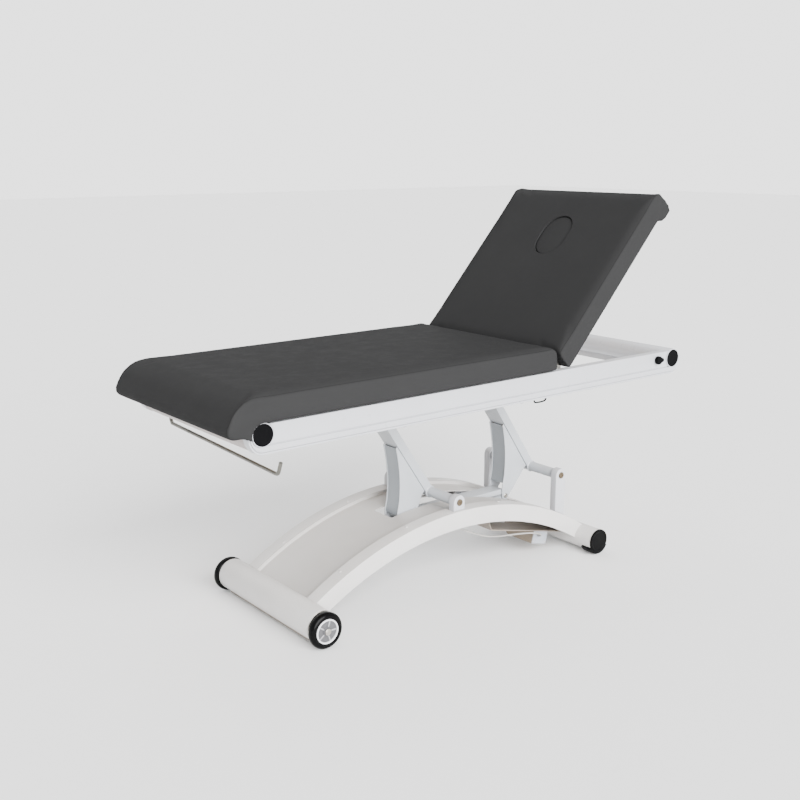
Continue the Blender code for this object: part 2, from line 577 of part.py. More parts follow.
def saddle_tools(x, z, back_plate):
    """Ears for an arm's top axle and, at the rear, the gas spring's bracket and pin."""
    ear = arc(x, z, 0.017, 180, 360, 8) + [(x + 0.022, 0.6935), (x - 0.022, 0.6935)]
    tools = [prism(ear, side * (ARM_HALF_Y + 0.0015), side * (ARM_HALF_Y + 0.0075)) for side in (-1, 1)]
    if back_plate:
        px, pz = spring_fixed()
        plate = [(0.262, 0.6940), (0.262, 0.660), *arc(px, pz, 0.012, 215, 380, 6), (0.275, 0.6940)]
        tools.append(prism(plate, SPRING_Y + 0.012, SPRING_Y + 0.018))
        tools.append(rod(0.0045, (px, SPRING_Y - 0.013, pz), (px, SPRING_Y + 0.015, pz)))
    return tools


def spring_fixed():
    """The gas spring's pin on the bed frame."""
    return (HINGE[0] + SPRING_R * math.cos(SPRING_FIXED_DIR),
            HINGE[1] + SPRING_R * math.sin(SPRING_FIXED_DIR))


def seat_outline():
    """Side view of the seat cushion: rolled foot end, and clearance over the foot end tube."""
    nose, low, over = -BED_HALF, BOARD_TOP + GAP, END_TUBE_R + 2 * GAP
    rise = math.degrees(math.asin((low - END_TUBE_Z) / over))
    return ([(SEAT_END, 0.765), (SEAT_END, CUSHION_TOP - 0.016), (SEAT_END - 0.006, CUSHION_TOP - 0.005),
             (SEAT_END - 0.018, CUSHION_TOP)]
            + arc(nose + 0.090, CUSHION_TOP - 0.090, 0.090, 90, 180, 9)
            + arc(nose + 0.018, 0.725, 0.018, 190, 270, 4)
            + [(-0.897, 0.707), (-0.890, 0.716), (-0.888, low)]
            + arc(FOOT_END_X, END_TUBE_Z, over, 180 - rise, rise, 6)
            + [(SEAT_END - 0.028, low)])


def build_bed(bed_axis):
    """Rails, end tubes with caps, saddles, seat board and cushion, hinge bar and fittings."""
    for side, end in ((-1, "near"), (1, "far")):
        add(f"{end}_side_rail", pan(rail_outline(), side * RAIL_OUT, side * RAIL_IN, 0.0025),
            PAINT, bed_axis)
    for name, x, start, stop in (("foot", FOOT_END_X, 188, 282), ("head", HEAD_END_X, 352, 258)):
        half = RAIL_OUT + 0.0015
        tube = add(f"{name}_end_tube", pipe(END_TUBE_R, END_TUBE_R - SHEET, (x, -half, END_TUBE_Z),
                                           (x, half, END_TUBE_Z)), PAINT, bed_axis)
        lip = (arc(x, END_TUBE_Z, 0.0435, start, stop, 8, 0.0550)
               + arc(x, END_TUBE_Z, END_TUBE_R - 0.0015, stop, start, 8))
        lip_tool = prism(lip, -RAIL_IN + GAP, RAIL_IN - GAP)
        combine(tube, [lip_tool], 'UNION')
        for side, end in ((-1, "near"), (1, "far")):
            plug = END_TUBE_R - SHEET - GAP
            cap = [(0, half - 0.016), (plug, half - 0.016), (plug, half + GAP), (0.0325, half + GAP),
                   (0.0325, half + 0.003), (0.029, half + 0.0055), (0, half + 0.0055)]
            add(f"rail_cap_{name}_{end}", lathe(cap, (x, 0, END_TUBE_Z), (0, side, 0)), BLACK, bed_axis)

    for name, pivot in (("front", FRONT_PIVOT), ("rear", REAR_PIVOT)):
        dx, dz = on_arm(ARM_LENGTH, 0.0)
        x, z = pivot[0] + dx, pivot[1] + dz
        outer = [(x - 0.035, 0.692), (x + 0.035, 0.692), (x + 0.035, 0.728), (x - 0.035, 0.728)]
        inner = [(x - 0.0325, 0.6945), (x + 0.0325, 0.6945), (x + 0.0325, 0.7255), (x - 0.0325, 0.7255)]
        saddle = add(f"{name}_saddle", prism(outer, -RAIL_IN + GAP, RAIL_IN - GAP), PAINT, bed_axis)
        combine(saddle, saddle_tools(x, z, name == "rear"), 'UNION')
        combine(saddle, [prism(inner, -0.31, 0.31), cross_bar(0.0086, x, z, 0.06)], 'DIFFERENCE')

    add("seat_board", box((-0.795, -0.300, BOARD_BOTTOM), (0.280, 0.300, BOARD_TOP)), WOOD, bed_axis)
    add("seat_cushion", prism(seat_outline(), -CUSHION_HALF, CUSHION_HALF), COVER, bed_axis, smooth=60.0)

    hinge_bar = add("hinge_bar", cross_bar(0.007, *HINGE, 0.3015, 16), STEEL, bed_axis)
    plate = [(HINGE[0] - 0.011, 0.690), (HINGE[0] + 0.011, 0.690), *arc(*HINGE, 0.011, 0, 180, 8)]
    combine(hinge_bar, [prism(plate, side * 0.3005, side * 0.3045) for side in (-1, 1)], 'UNION')
    ring = pipe(0.0118, ROLL_ROD + 0.0006, (ROLL_X, ROLL_Y, 0.6375), (ROLL_X, ROLL_Y, RAIL_BOTTOM - GAP), 18)
    add("roll_holder_socket", ring, PAINT, bed_axis)

    hook = smooth_route([(0.208, -0.320, 0.6497), (0.208, -0.320, 0.6430), (0.212, -0.320, 0.6390),
                         (0.220, -0.320, 0.6375), (0.246, -0.320, 0.6375), (0.256, -0.320, 0.6390),
                         (0.261, -0.320, 0.6430), (0.262, -0.320, 0.6497)], 0.005)
    wire("handset_hook", hook, 0.0026, BLACK, bed_axis)


def build_roll_holder(bed_axis):
    """Paper-roll rod hung from the far rail, its open end turned up."""
    swing = joint_empty("roll_holder_axis", ROLL_X, ROLL_Y, 0.640, bed_axis)
    bpy.context.view_layer.update()
    route = [(ROLL_X, ROLL_Y, 0.6490), (ROLL_X, ROLL_Y, 0.6300), (ROLL_X, ROLL_Y - 0.001, 0.6120),
             (ROLL_X, ROLL_Y - 0.008, 0.6030), (ROLL_X, ROLL_Y - 0.020, 0.6000),
             (ROLL_X, 0.150, 0.5950), (ROLL_X, -0.100, 0.5870), (ROLL_X, -0.270, 0.5813),
             (ROLL_X, -0.300, 0.5806), (ROLL_X, -0.3135, 0.5835), (ROLL_X, -0.3205, 0.5950),
             (ROLL_X, -0.330, 0.6180)]
    wire("roll_holder_rod", smooth_route(route, 0.018), ROLL_ROD, STEEL, swing)


def build_knob(bed_axis):
    """Two-lobed clamp knob on the near rail."""
    x, z = 0.818, 0.709
    turn = joint_empty("knob_axis", x, -RAIL_OUT, z, bed_axis)
    bpy.context.view_layer.update()
    outline = arc(x, z, 0.0150, 40, 320, 16) + arc(x + 0.016, z, 0.0080, -70, 70, 8)
    add("clamp_knob", prism(outline, -RAIL_OUT - GAP, -RAIL_OUT - 0.0145), BLACK, turn)


# ------------------------------------------------------------------ backrest
def back_world(a, h):
    """Place of a backrest point in the X-Z plane."""
    return turned((HINGE[0] + a, HINGE[1] + h), HINGE, BACK_ANGLE)


PLUG_AT, PLUG_LONG, PLUG_WIDE = 0.463, 0.087, 0.065      # face plug: place and half sizes
PLUG_DEPTH = 0.045


def oval(half_long, half_wide, depth_low, depth_high, steps=36):
    """A straight-sided oval block standing on the backrest's face."""
    bm = bmesh.new()
    bmesh.ops.create_cone(bm, cap_ends=True, segments=steps, radius1=1.0, radius2=1.0,
                          depth=depth_high - depth_low)
    place = Matrix.Translation((PLUG_AT, 0.0, (depth_low + depth_high) / 2))
    bmesh.ops.scale(bm, vec=(half_wide, half_wide, 1.0), verts=bm.verts)
    for vert in bm.verts:
        vert.co.x += math.copysign(half_long - half_wide, vert.co.x)
    bmesh.ops.transform(bm, matrix=place, verts=bm.verts)
    return bm


def build_backrest(bed_axis):
    """Board with the hinge knuckle, cushion with the rolled head end, and the face plug."""
    axis = joint_empty("backrest_axis", HINGE[0], 0.0, HINGE[1], bed_axis, -BACK_ANGLE)
    bpy.context.view_layer.update()

    def knuckle(grow):
        """Outline of the hinge knuckle, wider all round by grow."""
        low = BACK_UNDER - 0.012
        return ([(-0.008 - grow, BACK_UNDER - 0.006)]
                + arc(0, 0, 0.0110 + grow, 223, -43, 14)
                + [(0.008 + grow, BACK_UNDER - 0.006), (0.008 + grow, low), (-0.008 - grow, low)])

    board_outline = [(-0.018, BACK_UNDER - 0.012), (BOARD_LENGTH, BACK_UNDER - 0.012),
                     (BOARD_LENGTH, BACK_UNDER - GAP), (-0.018, BACK_UNDER - GAP)]
    board = add("backrest_board", prism(board_outline, -0.294, 0.294), WOOD, axis, local=True)
    pin_a, pin_h = SPRING_R * math.cos(SPRING_BACK_DIR), SPRING_R * math.sin(SPRING_BACK_DIR)
    bracket = ([(pin_a + 0.026, BACK_UNDER - 0.008), (pin_a - 0.026, BACK_UNDER - 0.008)]
               + arc(pin_a, pin_h, 0.011, 200, 340, 6))
    combine(board, [prism(knuckle(0.0), -0.294, 0.294),
                    prism(bracket, SPRING_Y + 0.012, SPRING_Y + 0.018),
                    rod(0.0045, (pin_a, SPRING_Y - 0.013, pin_h), (pin_a, SPRING_Y + 0.015, pin_h))],
            'UNION')
    combine(board, [cross_bar(0.0075, 0, 0, 0.32, 16),
                    oval(PLUG_LONG + 0.004, PLUG_WIDE + 0.004, BACK_UNDER - 0.03, BACK_UNDER + 0.01)],
            'DIFFERENCE')

    end, face = BACK_LENGTH, BACK_FACE
    outline = ([(-0.0225, BACK_UNDER), (-0.0165, face - 0.006), (-0.0125, face)]
               + arc(end - 0.045, face - 0.045, 0.045, 90, 0, 7)
               + arc(end - 0.022, -0.034, 0.022, 0, -90, 5)
               + [(0.640, -0.056), (0.622, -0.048), (0.616, BACK_UNDER)])
    cushion = add("backrest_cushion", prism(outline, -CUSHION_HALF, CUSHION_HALF), COVER, axis,
                  local=True, smooth=60.0)
    slots = [box((-0.04, side * 0.2945, -0.05), (0.014, side * 0.3065, 0.014)) for side in (-1, 1)]
    combine(cushion, [prism(knuckle(GAP), -0.30, 0.30), *slots,
                      oval(PLUG_LONG + GAP, PLUG_WIDE + GAP, BACK_UNDER - 0.03, face + 0.02)],
            'DIFFERENCE')

    plug_x, plug_z = back_world(PLUG_AT, face)
    plug_axis = joint_empty("face_plug_axis", plug_x, 0.0, plug_z, bed_axis, -BACK_ANGLE)
    plug = oval(PLUG_LONG, PLUG_WIDE, face - PLUG_DEPTH, face)
    bmesh.ops.translate(plug, verts=plug.verts, vec=(-PLUG_AT, 0.0, -face))
    add("face_plug", plug, COVER, plug_axis, local=True)
    return axis


def build_gas_spring(bed_axis):
    """Gas spring: cylinder pinned to the bed frame, rod pinned to the backrest."""
    x0, z0 = spring_fixed()
    x1, z1 = back_world(SPRING_R * math.cos(SPRING_BACK_DIR), SPRING_R * math.sin(SPRING_BACK_DIR))
    low, high = Vector((x0, SPRING_Y, z0)), Vector((x1, SPRING_Y, z1))
    line = (high - low).normalized()
    low_axis = joint_empty("gas_cylinder_axis", *low, bed_axis)
    high_axis = joint_empty("gas_rod_axis", *high, bed_axis)
    bpy.context.view_layer.update()
    cylinder = [(0, -0.010), (0.0095, -0.010), (0.0095, 0.010), (0.0100, 0.012), (0.0100, 0.172),
                (0.0065, 0.172), (0.0065, 0.016), (0, 0.016)]
    body = add("gas_spring_cylinder", lathe(cylinder, low, line, steps=16), BLACK, low_axis)
    combine(body, [rod(0.0052, low - Vector((0, 0.02, 0)), low + Vector((0, 0.02, 0)))], 'DIFFERENCE')
    stem = [(0, -0.010), (0.0090, -0.010), (0.0090, 0.009), (0.0050, 0.013), (0.0050, 0.173), (0, 0.173)]
    tip = add("gas_spring_rod", lathe(stem, high, -line, steps=16), STEEL, high_axis)
    combine(tip, [rod(0.0052, high - Vector((0, 0.02, 0)), high + Vector((0, 0.02, 0)))],
            'DIFFERENCE')


def build():
    """Model the whole couch."""
    for obj in list(bpy.data.objects):
        bpy.data.objects.remove(obj, do_unlink=True)
    build_arch()
    build_floor_tubes()
    build_wheels()
    build_pivots()
    build_controls()
    front = build_arm("front", FRONT_PIVOT, True)
    rear = build_arm("rear", REAR_PIVOT, False)
    build_link(rear)
    build_actuator(front)
    dx, dz = on_arm(ARM_LENGTH, 0.0)
    bed_axis = joint_empty("bed_axis", FRONT_PIVOT[0] + dx, 0.0, FRONT_PIVOT[1] + dz)
    bpy.context.view_layer.update()
    build_bed(bed_axis)
    build_roll_holder(bed_axis)
    build_knob(bed_axis)
    build_backrest(bed_axis)
    build_gas_spring(bed_axis)


build()
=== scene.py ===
"""Looks of an electric examination couch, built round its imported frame.

The frame gives every size and place. Each sub-assembly of the couch is a class that models its
pieces with bmesh, dresses them in a finish and lets them ride on the frame's bodies: the arched
base, its controls, the parallel lift, the bed frame, the padded covers and the small fittings.
Metres, +Z up; X runs along the couch with the head end at +X, and the near side is -Y.
"""
from __future__ import annotations

import json
import logging
import math
from dataclasses import dataclass, field
from enum import Enum
from typing import Callable, Iterable, Sequence

import bmesh
import bpy
from mathutils import Matrix, Vector

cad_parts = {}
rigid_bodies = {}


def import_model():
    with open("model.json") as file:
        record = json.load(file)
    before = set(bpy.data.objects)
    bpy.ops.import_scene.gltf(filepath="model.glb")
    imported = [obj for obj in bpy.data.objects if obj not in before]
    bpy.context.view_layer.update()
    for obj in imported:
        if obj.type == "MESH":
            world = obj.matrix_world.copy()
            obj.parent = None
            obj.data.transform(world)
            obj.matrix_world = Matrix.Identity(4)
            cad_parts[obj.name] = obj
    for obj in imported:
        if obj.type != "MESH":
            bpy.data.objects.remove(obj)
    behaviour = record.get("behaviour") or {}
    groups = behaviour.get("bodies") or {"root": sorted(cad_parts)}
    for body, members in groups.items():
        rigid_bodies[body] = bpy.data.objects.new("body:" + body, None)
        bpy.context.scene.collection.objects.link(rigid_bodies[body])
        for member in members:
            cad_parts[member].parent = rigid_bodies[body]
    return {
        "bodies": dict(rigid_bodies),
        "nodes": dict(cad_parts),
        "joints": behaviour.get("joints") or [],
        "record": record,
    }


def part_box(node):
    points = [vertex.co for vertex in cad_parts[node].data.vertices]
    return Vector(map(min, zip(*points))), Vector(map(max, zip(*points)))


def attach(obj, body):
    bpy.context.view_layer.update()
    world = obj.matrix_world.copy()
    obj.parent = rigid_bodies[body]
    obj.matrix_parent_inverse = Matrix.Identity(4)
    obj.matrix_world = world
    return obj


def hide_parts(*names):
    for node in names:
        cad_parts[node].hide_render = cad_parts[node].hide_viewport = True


LOG = logging.getLogger("couch")
GAP = 0.0003
SIDES: tuple[tuple[int, str], ...] = ((-1, "near"), (1, "far"))
Point2 = tuple[float, float]
Outline = list[Point2]


# ------------------------------------------------------------------ finishes
class Grain(Enum):
    """Fine relief of a surface."""

    SMOOTH = "smooth"
    ORANGE_PEEL = "orange peel"
    HIDE = "hide"
    MOULDED = "moulded"
    BRUSHED = "brushed"
    TIMBER = "timber"


@dataclass(frozen=True)
class Finish:
    """One finish: its colours, gloss and fine relief.

    Args:
        slot: the record's material slot; not used.
        colour: main colour, linear.
        shade: second colour of the slow, cloudy variation.
        roughness: middle roughness.
        spread: how far the roughness wanders to either side.
        grain: kind of fine relief.
        pitch: features of the relief per metre.
        depth: height of the relief in metres.
    """

    slot: str
    colour: tuple[float, float, float]
    shade: tuple[float, float, float]
    roughness: float
    spread: float = 0.04
    metallic: float = 0.0
    coat: float = 0.0
    sheen: float = 0.0
    specular: float = 0.5
    grain: Grain = Grain.SMOOTH
    pitch: float = 600.0
    depth: float = 0.0
    cloud: float = 7.0

    def material(self, name: str) -> bpy.types.Material:
        """Return this finish's material, made once for each name.

        Args:
            name: the material's name.

        Returns:
            A node material that reads Object coordinates.
        """
        name = f"{name}_finish"
        if name in bpy.data.materials:
            return bpy.data.materials[name]
        made = bpy.data.materials.new(name)
        made.use_nodes = True
        made.diffuse_color = (*self.colour, 1.0)
        kit = NodeKit(made)
        kit.shader.inputs["Metallic"].default_value = self.metallic
        kit.shader.inputs["Coat Weight"].default_value = self.coat
        kit.shader.inputs["Coat Roughness"].default_value = 0.12
        kit.shader.inputs["Sheen Weight"].default_value = self.sheen
        kit.shader.inputs["Sheen Roughness"].default_value = 0.4
        kit.shader.inputs["Specular IOR Level"].default_value = self.specular
        along = kit.stretched((0.10, 1.0, 1.0)) if self.grain is Grain.TIMBER else None
        patches = kit.noise(self.cloud, 4.0, 0.6, along)
        kit.blend_colours(patches, self.shade, self.colour, kit.shader.inputs["Base Color"])
        wander = kit.noise(self.cloud * 4.3, 5.0, 0.65)
        kit.spread(wander, self.roughness - self.spread, self.roughness + self.spread,
                   kit.shader.inputs["Roughness"])
        if self.depth > 0.0:
            kit.relief(self.grain, self.pitch, self.depth)
        return made


class NodeKit:
    """Builds the nodes of one material on Object coordinates."""

    def __init__(self, made: bpy.types.Material) -> None:
        """Keep the tree, its shader and its coordinates."""
        self.tree = made.node_tree
        self.shader = self.tree.nodes["Principled BSDF"]
        self.place = self.tree.nodes.new("ShaderNodeTexCoord").outputs["Object"]

    def stretched(self, scale: tuple[float, float, float]) -> bpy.types.NodeSocket:
        """Return the coordinates scaled along the three axes."""
        mapping = self.tree.nodes.new("ShaderNodeMapping")
        mapping.inputs["Scale"].default_value = scale
        self.tree.links.new(self.place, mapping.inputs["Vector"])
        return mapping.outputs["Vector"]

    def noise(self, scale: float, detail: float, rough: float,
              place: bpy.types.NodeSocket | None = None) -> bpy.types.NodeSocket:
        """Return a cloudy value.

        Args:
            scale: features per metre.
            detail: number of octaves.
            rough: weight of the finer octaves.
            place: coordinates, the object's own by default.

        Returns:
            The noise's value socket.
        """
        node = self.tree.nodes.new("ShaderNodeTexNoise")
        node.inputs["Scale"].default_value = scale
        node.inputs["Detail"].default_value = detail
        node.inputs["Roughness"].default_value = rough
        self.tree.links.new(place or self.place, node.inputs["Vector"])
        return node.outputs["Fac"]

    def cells(self, scale: float) -> bpy.types.NodeSocket:
        """Return the distance to the nearest cell centre."""
        node = self.tree.nodes.new("ShaderNodeTexVoronoi")
        node.feature = 'SMOOTH_F1'
        node.inputs["Scale"].default_value = scale
        node.inputs["Smoothness"].default_value = 0.35
        self.tree.links.new(self.place, node.inputs["Vector"])
        return node.outputs["Distance"]

    def spread(self, value: bpy.types.NodeSocket, low: float, high: float,
               target: bpy.types.NodeSocket, start: float = 0.3, end: float = 0.7) -> None:
        """Map a value's middle range to low and high, into a socket."""
        node = self.tree.nodes.new("ShaderNodeMapRange")
        node.inputs["From Min"].default_value = start
        node.inputs["From Max"].default_value = end
        node.inputs["To Min"].default_value = low
        node.inputs["To Max"].default_value = high
        self.tree.links.new(value, node.inputs["Value"])
        self.tree.links.new(node.outputs["Result"], target)

    def blend_colours(self, value: bpy.types.NodeSocket, first: Sequence[float],
                      second: Sequence[float], target: bpy.types.NodeSocket) -> None:
        """Blend two colours by a value, into a socket."""
        mix = self.tree.nodes.new("ShaderNodeMix")
        mix.data_type = 'RGBA'
        mix.inputs["A"].default_value = (*first, 1.0)
        mix.inputs["B"].default_value = (*second, 1.0)
        self.spread(value, 0.0, 1.0, mix.inputs["Factor"])
        self.tree.links.new(mix.outputs["Result"], target)

    def relief(self, grain: Grain, pitch: float, depth: float) -> None:
        """Give the shader its fine relief.

        Args:
            grain: kind of relief.
            pitch: features per metre.
            depth: height in metres.
        """
        if grain is Grain.HIDE:
            height = self.cells(pitch)
        elif grain is Grain.BRUSHED:
            height = self.noise(pitch, 2.0, 0.5, self.stretched((1.0, 0.06, 1.0)))
        elif grain is Grain.TIMBER:
            height = self.noise(pitch, 4.0, 0.6, self.stretched((0.08, 1.0, 1.0)))
        else:
            height = self.noise(pitch, 2.0 if grain is Grain.ORANGE_PEEL else 4.0, 0.55)
        bump = self.tree.nodes.new("ShaderNodeBump")
        bump.inputs["Distance"].default_value = depth
        bump.inputs["Strength"].default_value = 1.0
        self.tree.links.new(height, bump.inputs["Height"])
        self.tree.links.new(bump.outputs["Normal"], self.shader.inputs["Normal"])


WHITE = Finish("white_paint", (0.46, 0.467, 0.495), (0.44, 0.447, 0.472), 0.30, coat=0.25,
               grain=Grain.ORANGE_PEEL, pitch=420.0, depth=0.00005)
# Lift parts: the white paint made darker and greyer, painted shade on the arms, gussets, sleeves, weld
# beads and link.
LIFT_IN_SHADE = Finish("white_paint", (0.40, 0.42, 0.445), (0.375, 0.395, 0.42), 0.32, coat=0.25,
              grain=Grain.ORANGE_PEEL, pitch=420.0, depth=0.00005)
# Closing sheet: the white paint made darker and bluer, painted shade on the sheet that faces away from
# the light.
SHEET_IN_SHADE = Finish("white_paint", (0.25, 0.275, 0.30), (0.225, 0.25, 0.275), 0.34, coat=0.2,
               grain=Grain.ORANGE_PEEL, pitch=420.0, depth=0.00005)
SHADED = Finish("white_paint", (0.36, 0.32, 0.31), (0.32, 0.285, 0.275), 0.40,
                grain=Grain.ORANGE_PEEL, pitch=420.0, depth=0.00005)
BASE = Finish("base_paint", (0.56, 0.547, 0.535), (0.53, 0.517, 0.505), 0.36, coat=0.15,
              grain=Grain.ORANGE_PEEL, pitch=420.0, depth=0.00006)
# Deck: the base paint made darker, painted shade on the plate that lies recessed between the rims.
DECK_IN_SHADE = Finish("base_paint", (0.45, 0.435, 0.42), (0.42, 0.405, 0.39), 0.42,
              grain=Grain.ORANGE_PEEL, pitch=420.0, depth=0.00006)
ZINC = Finish("zinc_steel", (0.58, 0.56, 0.52), (0.42, 0.40, 0.37), 0.34, metallic=1.0,
              grain=Grain.BRUSHED, pitch=900.0, depth=0.00003, cloud=60.0)
YELLOW_ZINC = Finish("yellow_zinc", (0.17, 0.125, 0.075), (0.085, 0.065, 0.045), 0.40, 0.08,
                     metallic=0.7, grain=Grain.BRUSHED, pitch=900.0, depth=0.00003, cloud=90.0)
BRIGHT_ROD = Finish("polished_rod", (0.20, 0.195, 0.172), (0.13, 0.127, 0.112), 0.32, metallic=0.9,
                    grain=Grain.BRUSHED, pitch=700.0, depth=0.00002, cloud=40.0)
BLACK = Finish("black_plastic", (0.0020, 0.0020, 0.0024), (0.0034, 0.0034, 0.0038), 0.46, 0.06,
               specular=0.03, grain=Grain.MOULDED, pitch=1400.0, depth=0.00005)
GREY = Finish("grey_plastic", (0.30, 0.30, 0.31), (0.27, 0.27, 0.28), 0.42, 0.05,
              grain=Grain.MOULDED, pitch=1500.0, depth=0.00005)
RIM = Finish("grey_plastic", (0.72, 0.72, 0.74), (0.68, 0.68, 0.70), 0.30, 0.05, coat=0.2,
             grain=Grain.MOULDED, pitch=1500.0, depth=0.00003)
DISC = Finish("grey_plastic", (0.085, 0.085, 0.09), (0.065, 0.065, 0.07), 0.36, 0.05,
              grain=Grain.MOULDED, pitch=1500.0, depth=0.00005)
PANEL = Finish("grey_plastic", (0.33, 0.345, 0.38), (0.30, 0.315, 0.35), 0.36, 0.05,
               grain=Grain.MOULDED, pitch=1500.0, depth=0.00003)
# Control box case: the grey plastic made dark brown, painted shade on the box hung under the deck.
CASE_IN_SHADE = Finish("grey_plastic", (0.22, 0.175, 0.130), (0.18, 0.145, 0.108), 0.46, 0.05,
              grain=Grain.MOULDED, pitch=1500.0, depth=0.00005)
# Base paint made dark and brown: painted shade on the tray under the deck and on the keel under the foot
# tube.
BASE_IN_SHADE = Finish("base_paint", (0.24, 0.200, 0.165), (0.20, 0.168, 0.138), 0.45,
              grain=Grain.ORANGE_PEEL, pitch=420.0, depth=0.00005)
SHEATH = Finish("lead_sheath", (0.33, 0.32, 0.30), (0.29, 0.28, 0.265), 0.5, 0.05,
                grain=Grain.MOULDED, pitch=900.0, depth=0.00004, cloud=20.0)
FOOT_RUBBER = Finish("foot_rubber", (0.0020, 0.0020, 0.0024), (0.0040, 0.0040, 0.0040), 0.46, 0.08,
                     specular=0.04, grain=Grain.MOULDED, pitch=700.0, depth=0.0001)
TYRE = Finish("wheel_tyre", (0.0015, 0.0015, 0.0018), (0.0026, 0.0026, 0.0026), 0.15, 0.04, coat=0.03,
              specular=0.06, grain=Grain.MOULDED, pitch=900.0, depth=0.00004, cloud=25.0)
SPRING = Finish("spring_black", (0.012, 0.012, 0.013), (0.02, 0.02, 0.02), 0.2, coat=0.5,
                grain=Grain.ORANGE_PEEL, pitch=500.0, depth=0.00003)
COVER = Finish("charcoal_cover", (0.0240, 0.0240, 0.0243), (0.0226, 0.0226, 0.0230), 0.60, 0.05,
               specular=0.012, grain=Grain.HIDE, pitch=950.0, depth=0.00016, cloud=5.0)
SEAM = Finish("charcoal_cover", (0.006, 0.006, 0.006), (0.005, 0.005, 0.005), 0.6, specular=0.03,
              grain=Grain.MOULDED, pitch=900.0, depth=0.00005)
PLY = Finish("plywood", (0.50, 0.35, 0.20), (0.40, 0.275, 0.15), 0.55, 0.06,
             grain=Grain.TIMBER, pitch=260.0, depth=0.0001, cloud=60.0)


# ------------------------------------------------------------------ shapes
def arc(cx: float, cz: float, radius: float, start: float, end: float, steps: int,
        rise: float | None = None) -> Outline:
    """Return points on an arc.

    Args:
        cx: centre along the first axis.
        cz: centre along the second axis.
        radius: radius along the first axis.
        start: first angle in degrees, from +X towards +Z.
        end: last angle.
        steps: number of chords.
        rise: radius along the second axis, if the arc is an ellipse's.

    Returns:
        The points, both ends included.
    """
    rise = radius if rise is None else rise
    turn = [math.radians(start + (end - start) * i / steps) for i in range(steps + 1)]
    return [(cx + radius * math.cos(t), cz + rise * math.sin(t)) for t in turn]


def rounded(outline: Sequence[Sequence[float]], steps: int = 6) -> Outline:
    """Round the corners of an outline.

    Args:
        outline: corners, each (x, z) or (x, z, radius).
        steps: chords in each rounded corner.

    Returns:
        The outline's points with its corners as curves.
    """
    result: Outline = []
    for index, corner in enumerate(outline):
        here = Vector(corner[:2])
        if len(corner) < 3:
            result.append((here.x, here.y))
            continue
        before = (Vector(outline[index - 1][:2]) - here).normalized()
        after = (Vector(outline[(index + 1) % len(outline)][:2]) - here).normalized()
        half = before.angle(after) / 2
        centre = here + (before + after).normalized() * (corner[2] / math.sin(half))
        first = here + before * (corner[2] / math.tan(half)) - centre
        last = here + after * (corner[2] / math.tan(half)) - centre
        sweep = first.angle_signed(last)
        for k in range(steps + 1):
            spoke = first.copy()
            spoke.rotate(Matrix.Rotation(-sweep * k / steps, 2))
            result.append((centre.x + spoke.x, centre.y + spoke.y))
    return result


def bevel(bm: bmesh.types.BMesh, edges: Iterable[bmesh.types.BMEdge], width: float,
          segments: int = 3) -> None:
    """Round a set of edges."""
    bmesh.ops.bevel(bm, geom=list(edges), offset=width, offset_type='OFFSET', segments=segments,
                    profile=0.5, affect='EDGES', material=-1, clamp_overlap=True)


def prism(outline: Outline, y0: float, y1: float, width: float = 0.0,
          segments: int = 3) -> bmesh.types.BMesh:
    """Extrude a side view along Y and round its two rims.

    Args:
        outline: X-Z points in order.
        y0: first face.
        y1: second face.
        width: width of the rounding along both rims.
        segments: faces across the rounding.

    Returns:
        The closed solid.
    """
    bm = bmesh.new()
    face = bm.faces.new([bm.verts.new((x, y0, z)) for x, z in outline])
    grown = bmesh.ops.extrude_face_region(bm, geom=[face])
    moved = [v for v in grown["geom"] if isinstance(v, bmesh.types.BMVert)]
    bmesh.ops.translate(bm, verts=moved, vec=(0.0, y1 - y0, 0.0))
    bmesh.ops.recalc_face_normals(bm, faces=bm.faces)
    if width > 0.0:
        rims = [e for e in bm.edges if abs(e.verts[0].co.y - e.verts[1].co.y) < 1e-7]
        bevel(bm, rims, width, segments)
    return bm


def pan(outline: Outline, y0: float, y1: float, wall: float, width: float) -> bmesh.types.BMesh:
    """A prism hollowed from its y1 side, with its rims rounded.

    Args:
        outline: X-Z points in order.
        y0: closed face.
        y1: open side.
        wall: thickness all round and at y0.
        width: width of the rounding.

    Returns:
        The open-backed pressing.
    """
    bm = prism(outline, y0, y1)
    front = [f for f in bm.faces if all(abs(v.co.y - y1) < 1e-7 for v in f.verts)]
    bmesh.ops.inset_region(bm, faces=front, thickness=wall, use_even_offset=True)
    grown = bmesh.ops.extrude_face_region(bm, geom=front)
    moved = [v for v in grown["geom"] if isinstance(v, bmesh.types.BMVert)]
    bmesh.ops.translate(bm, verts=moved, vec=(0.0, y0 - y1 + math.copysign(wall, y1 - y0), 0.0))
    bmesh.ops.delete(bm, geom=front, context='FACES_ONLY')
    bmesh.ops.recalc_face_normals(bm, faces=bm.faces)
    rims = [e for e in bm.edges if all(abs(v.co.y - y0) < 1e-7 for v in e.verts)]
    bevel(bm, rims, width)
    return bm


def block(low: Sequence[float], high: Sequence[float], width: float = 0.0,
          segments: int = 3) -> bmesh.types.BMesh:
    """A box between two corners with all its edges rounded."""
    bm = bmesh.new()
    first, last = Vector(low), Vector(high)
    size = Matrix.Diagonal((*(last - first), 1.0))
    bmesh.ops.create_cube(bm, size=1.0, matrix=Matrix.Translation((first + last) / 2) @ size)
    if width > 0.0:
        bevel(bm, bm.edges[:], width, segments)
    return bm


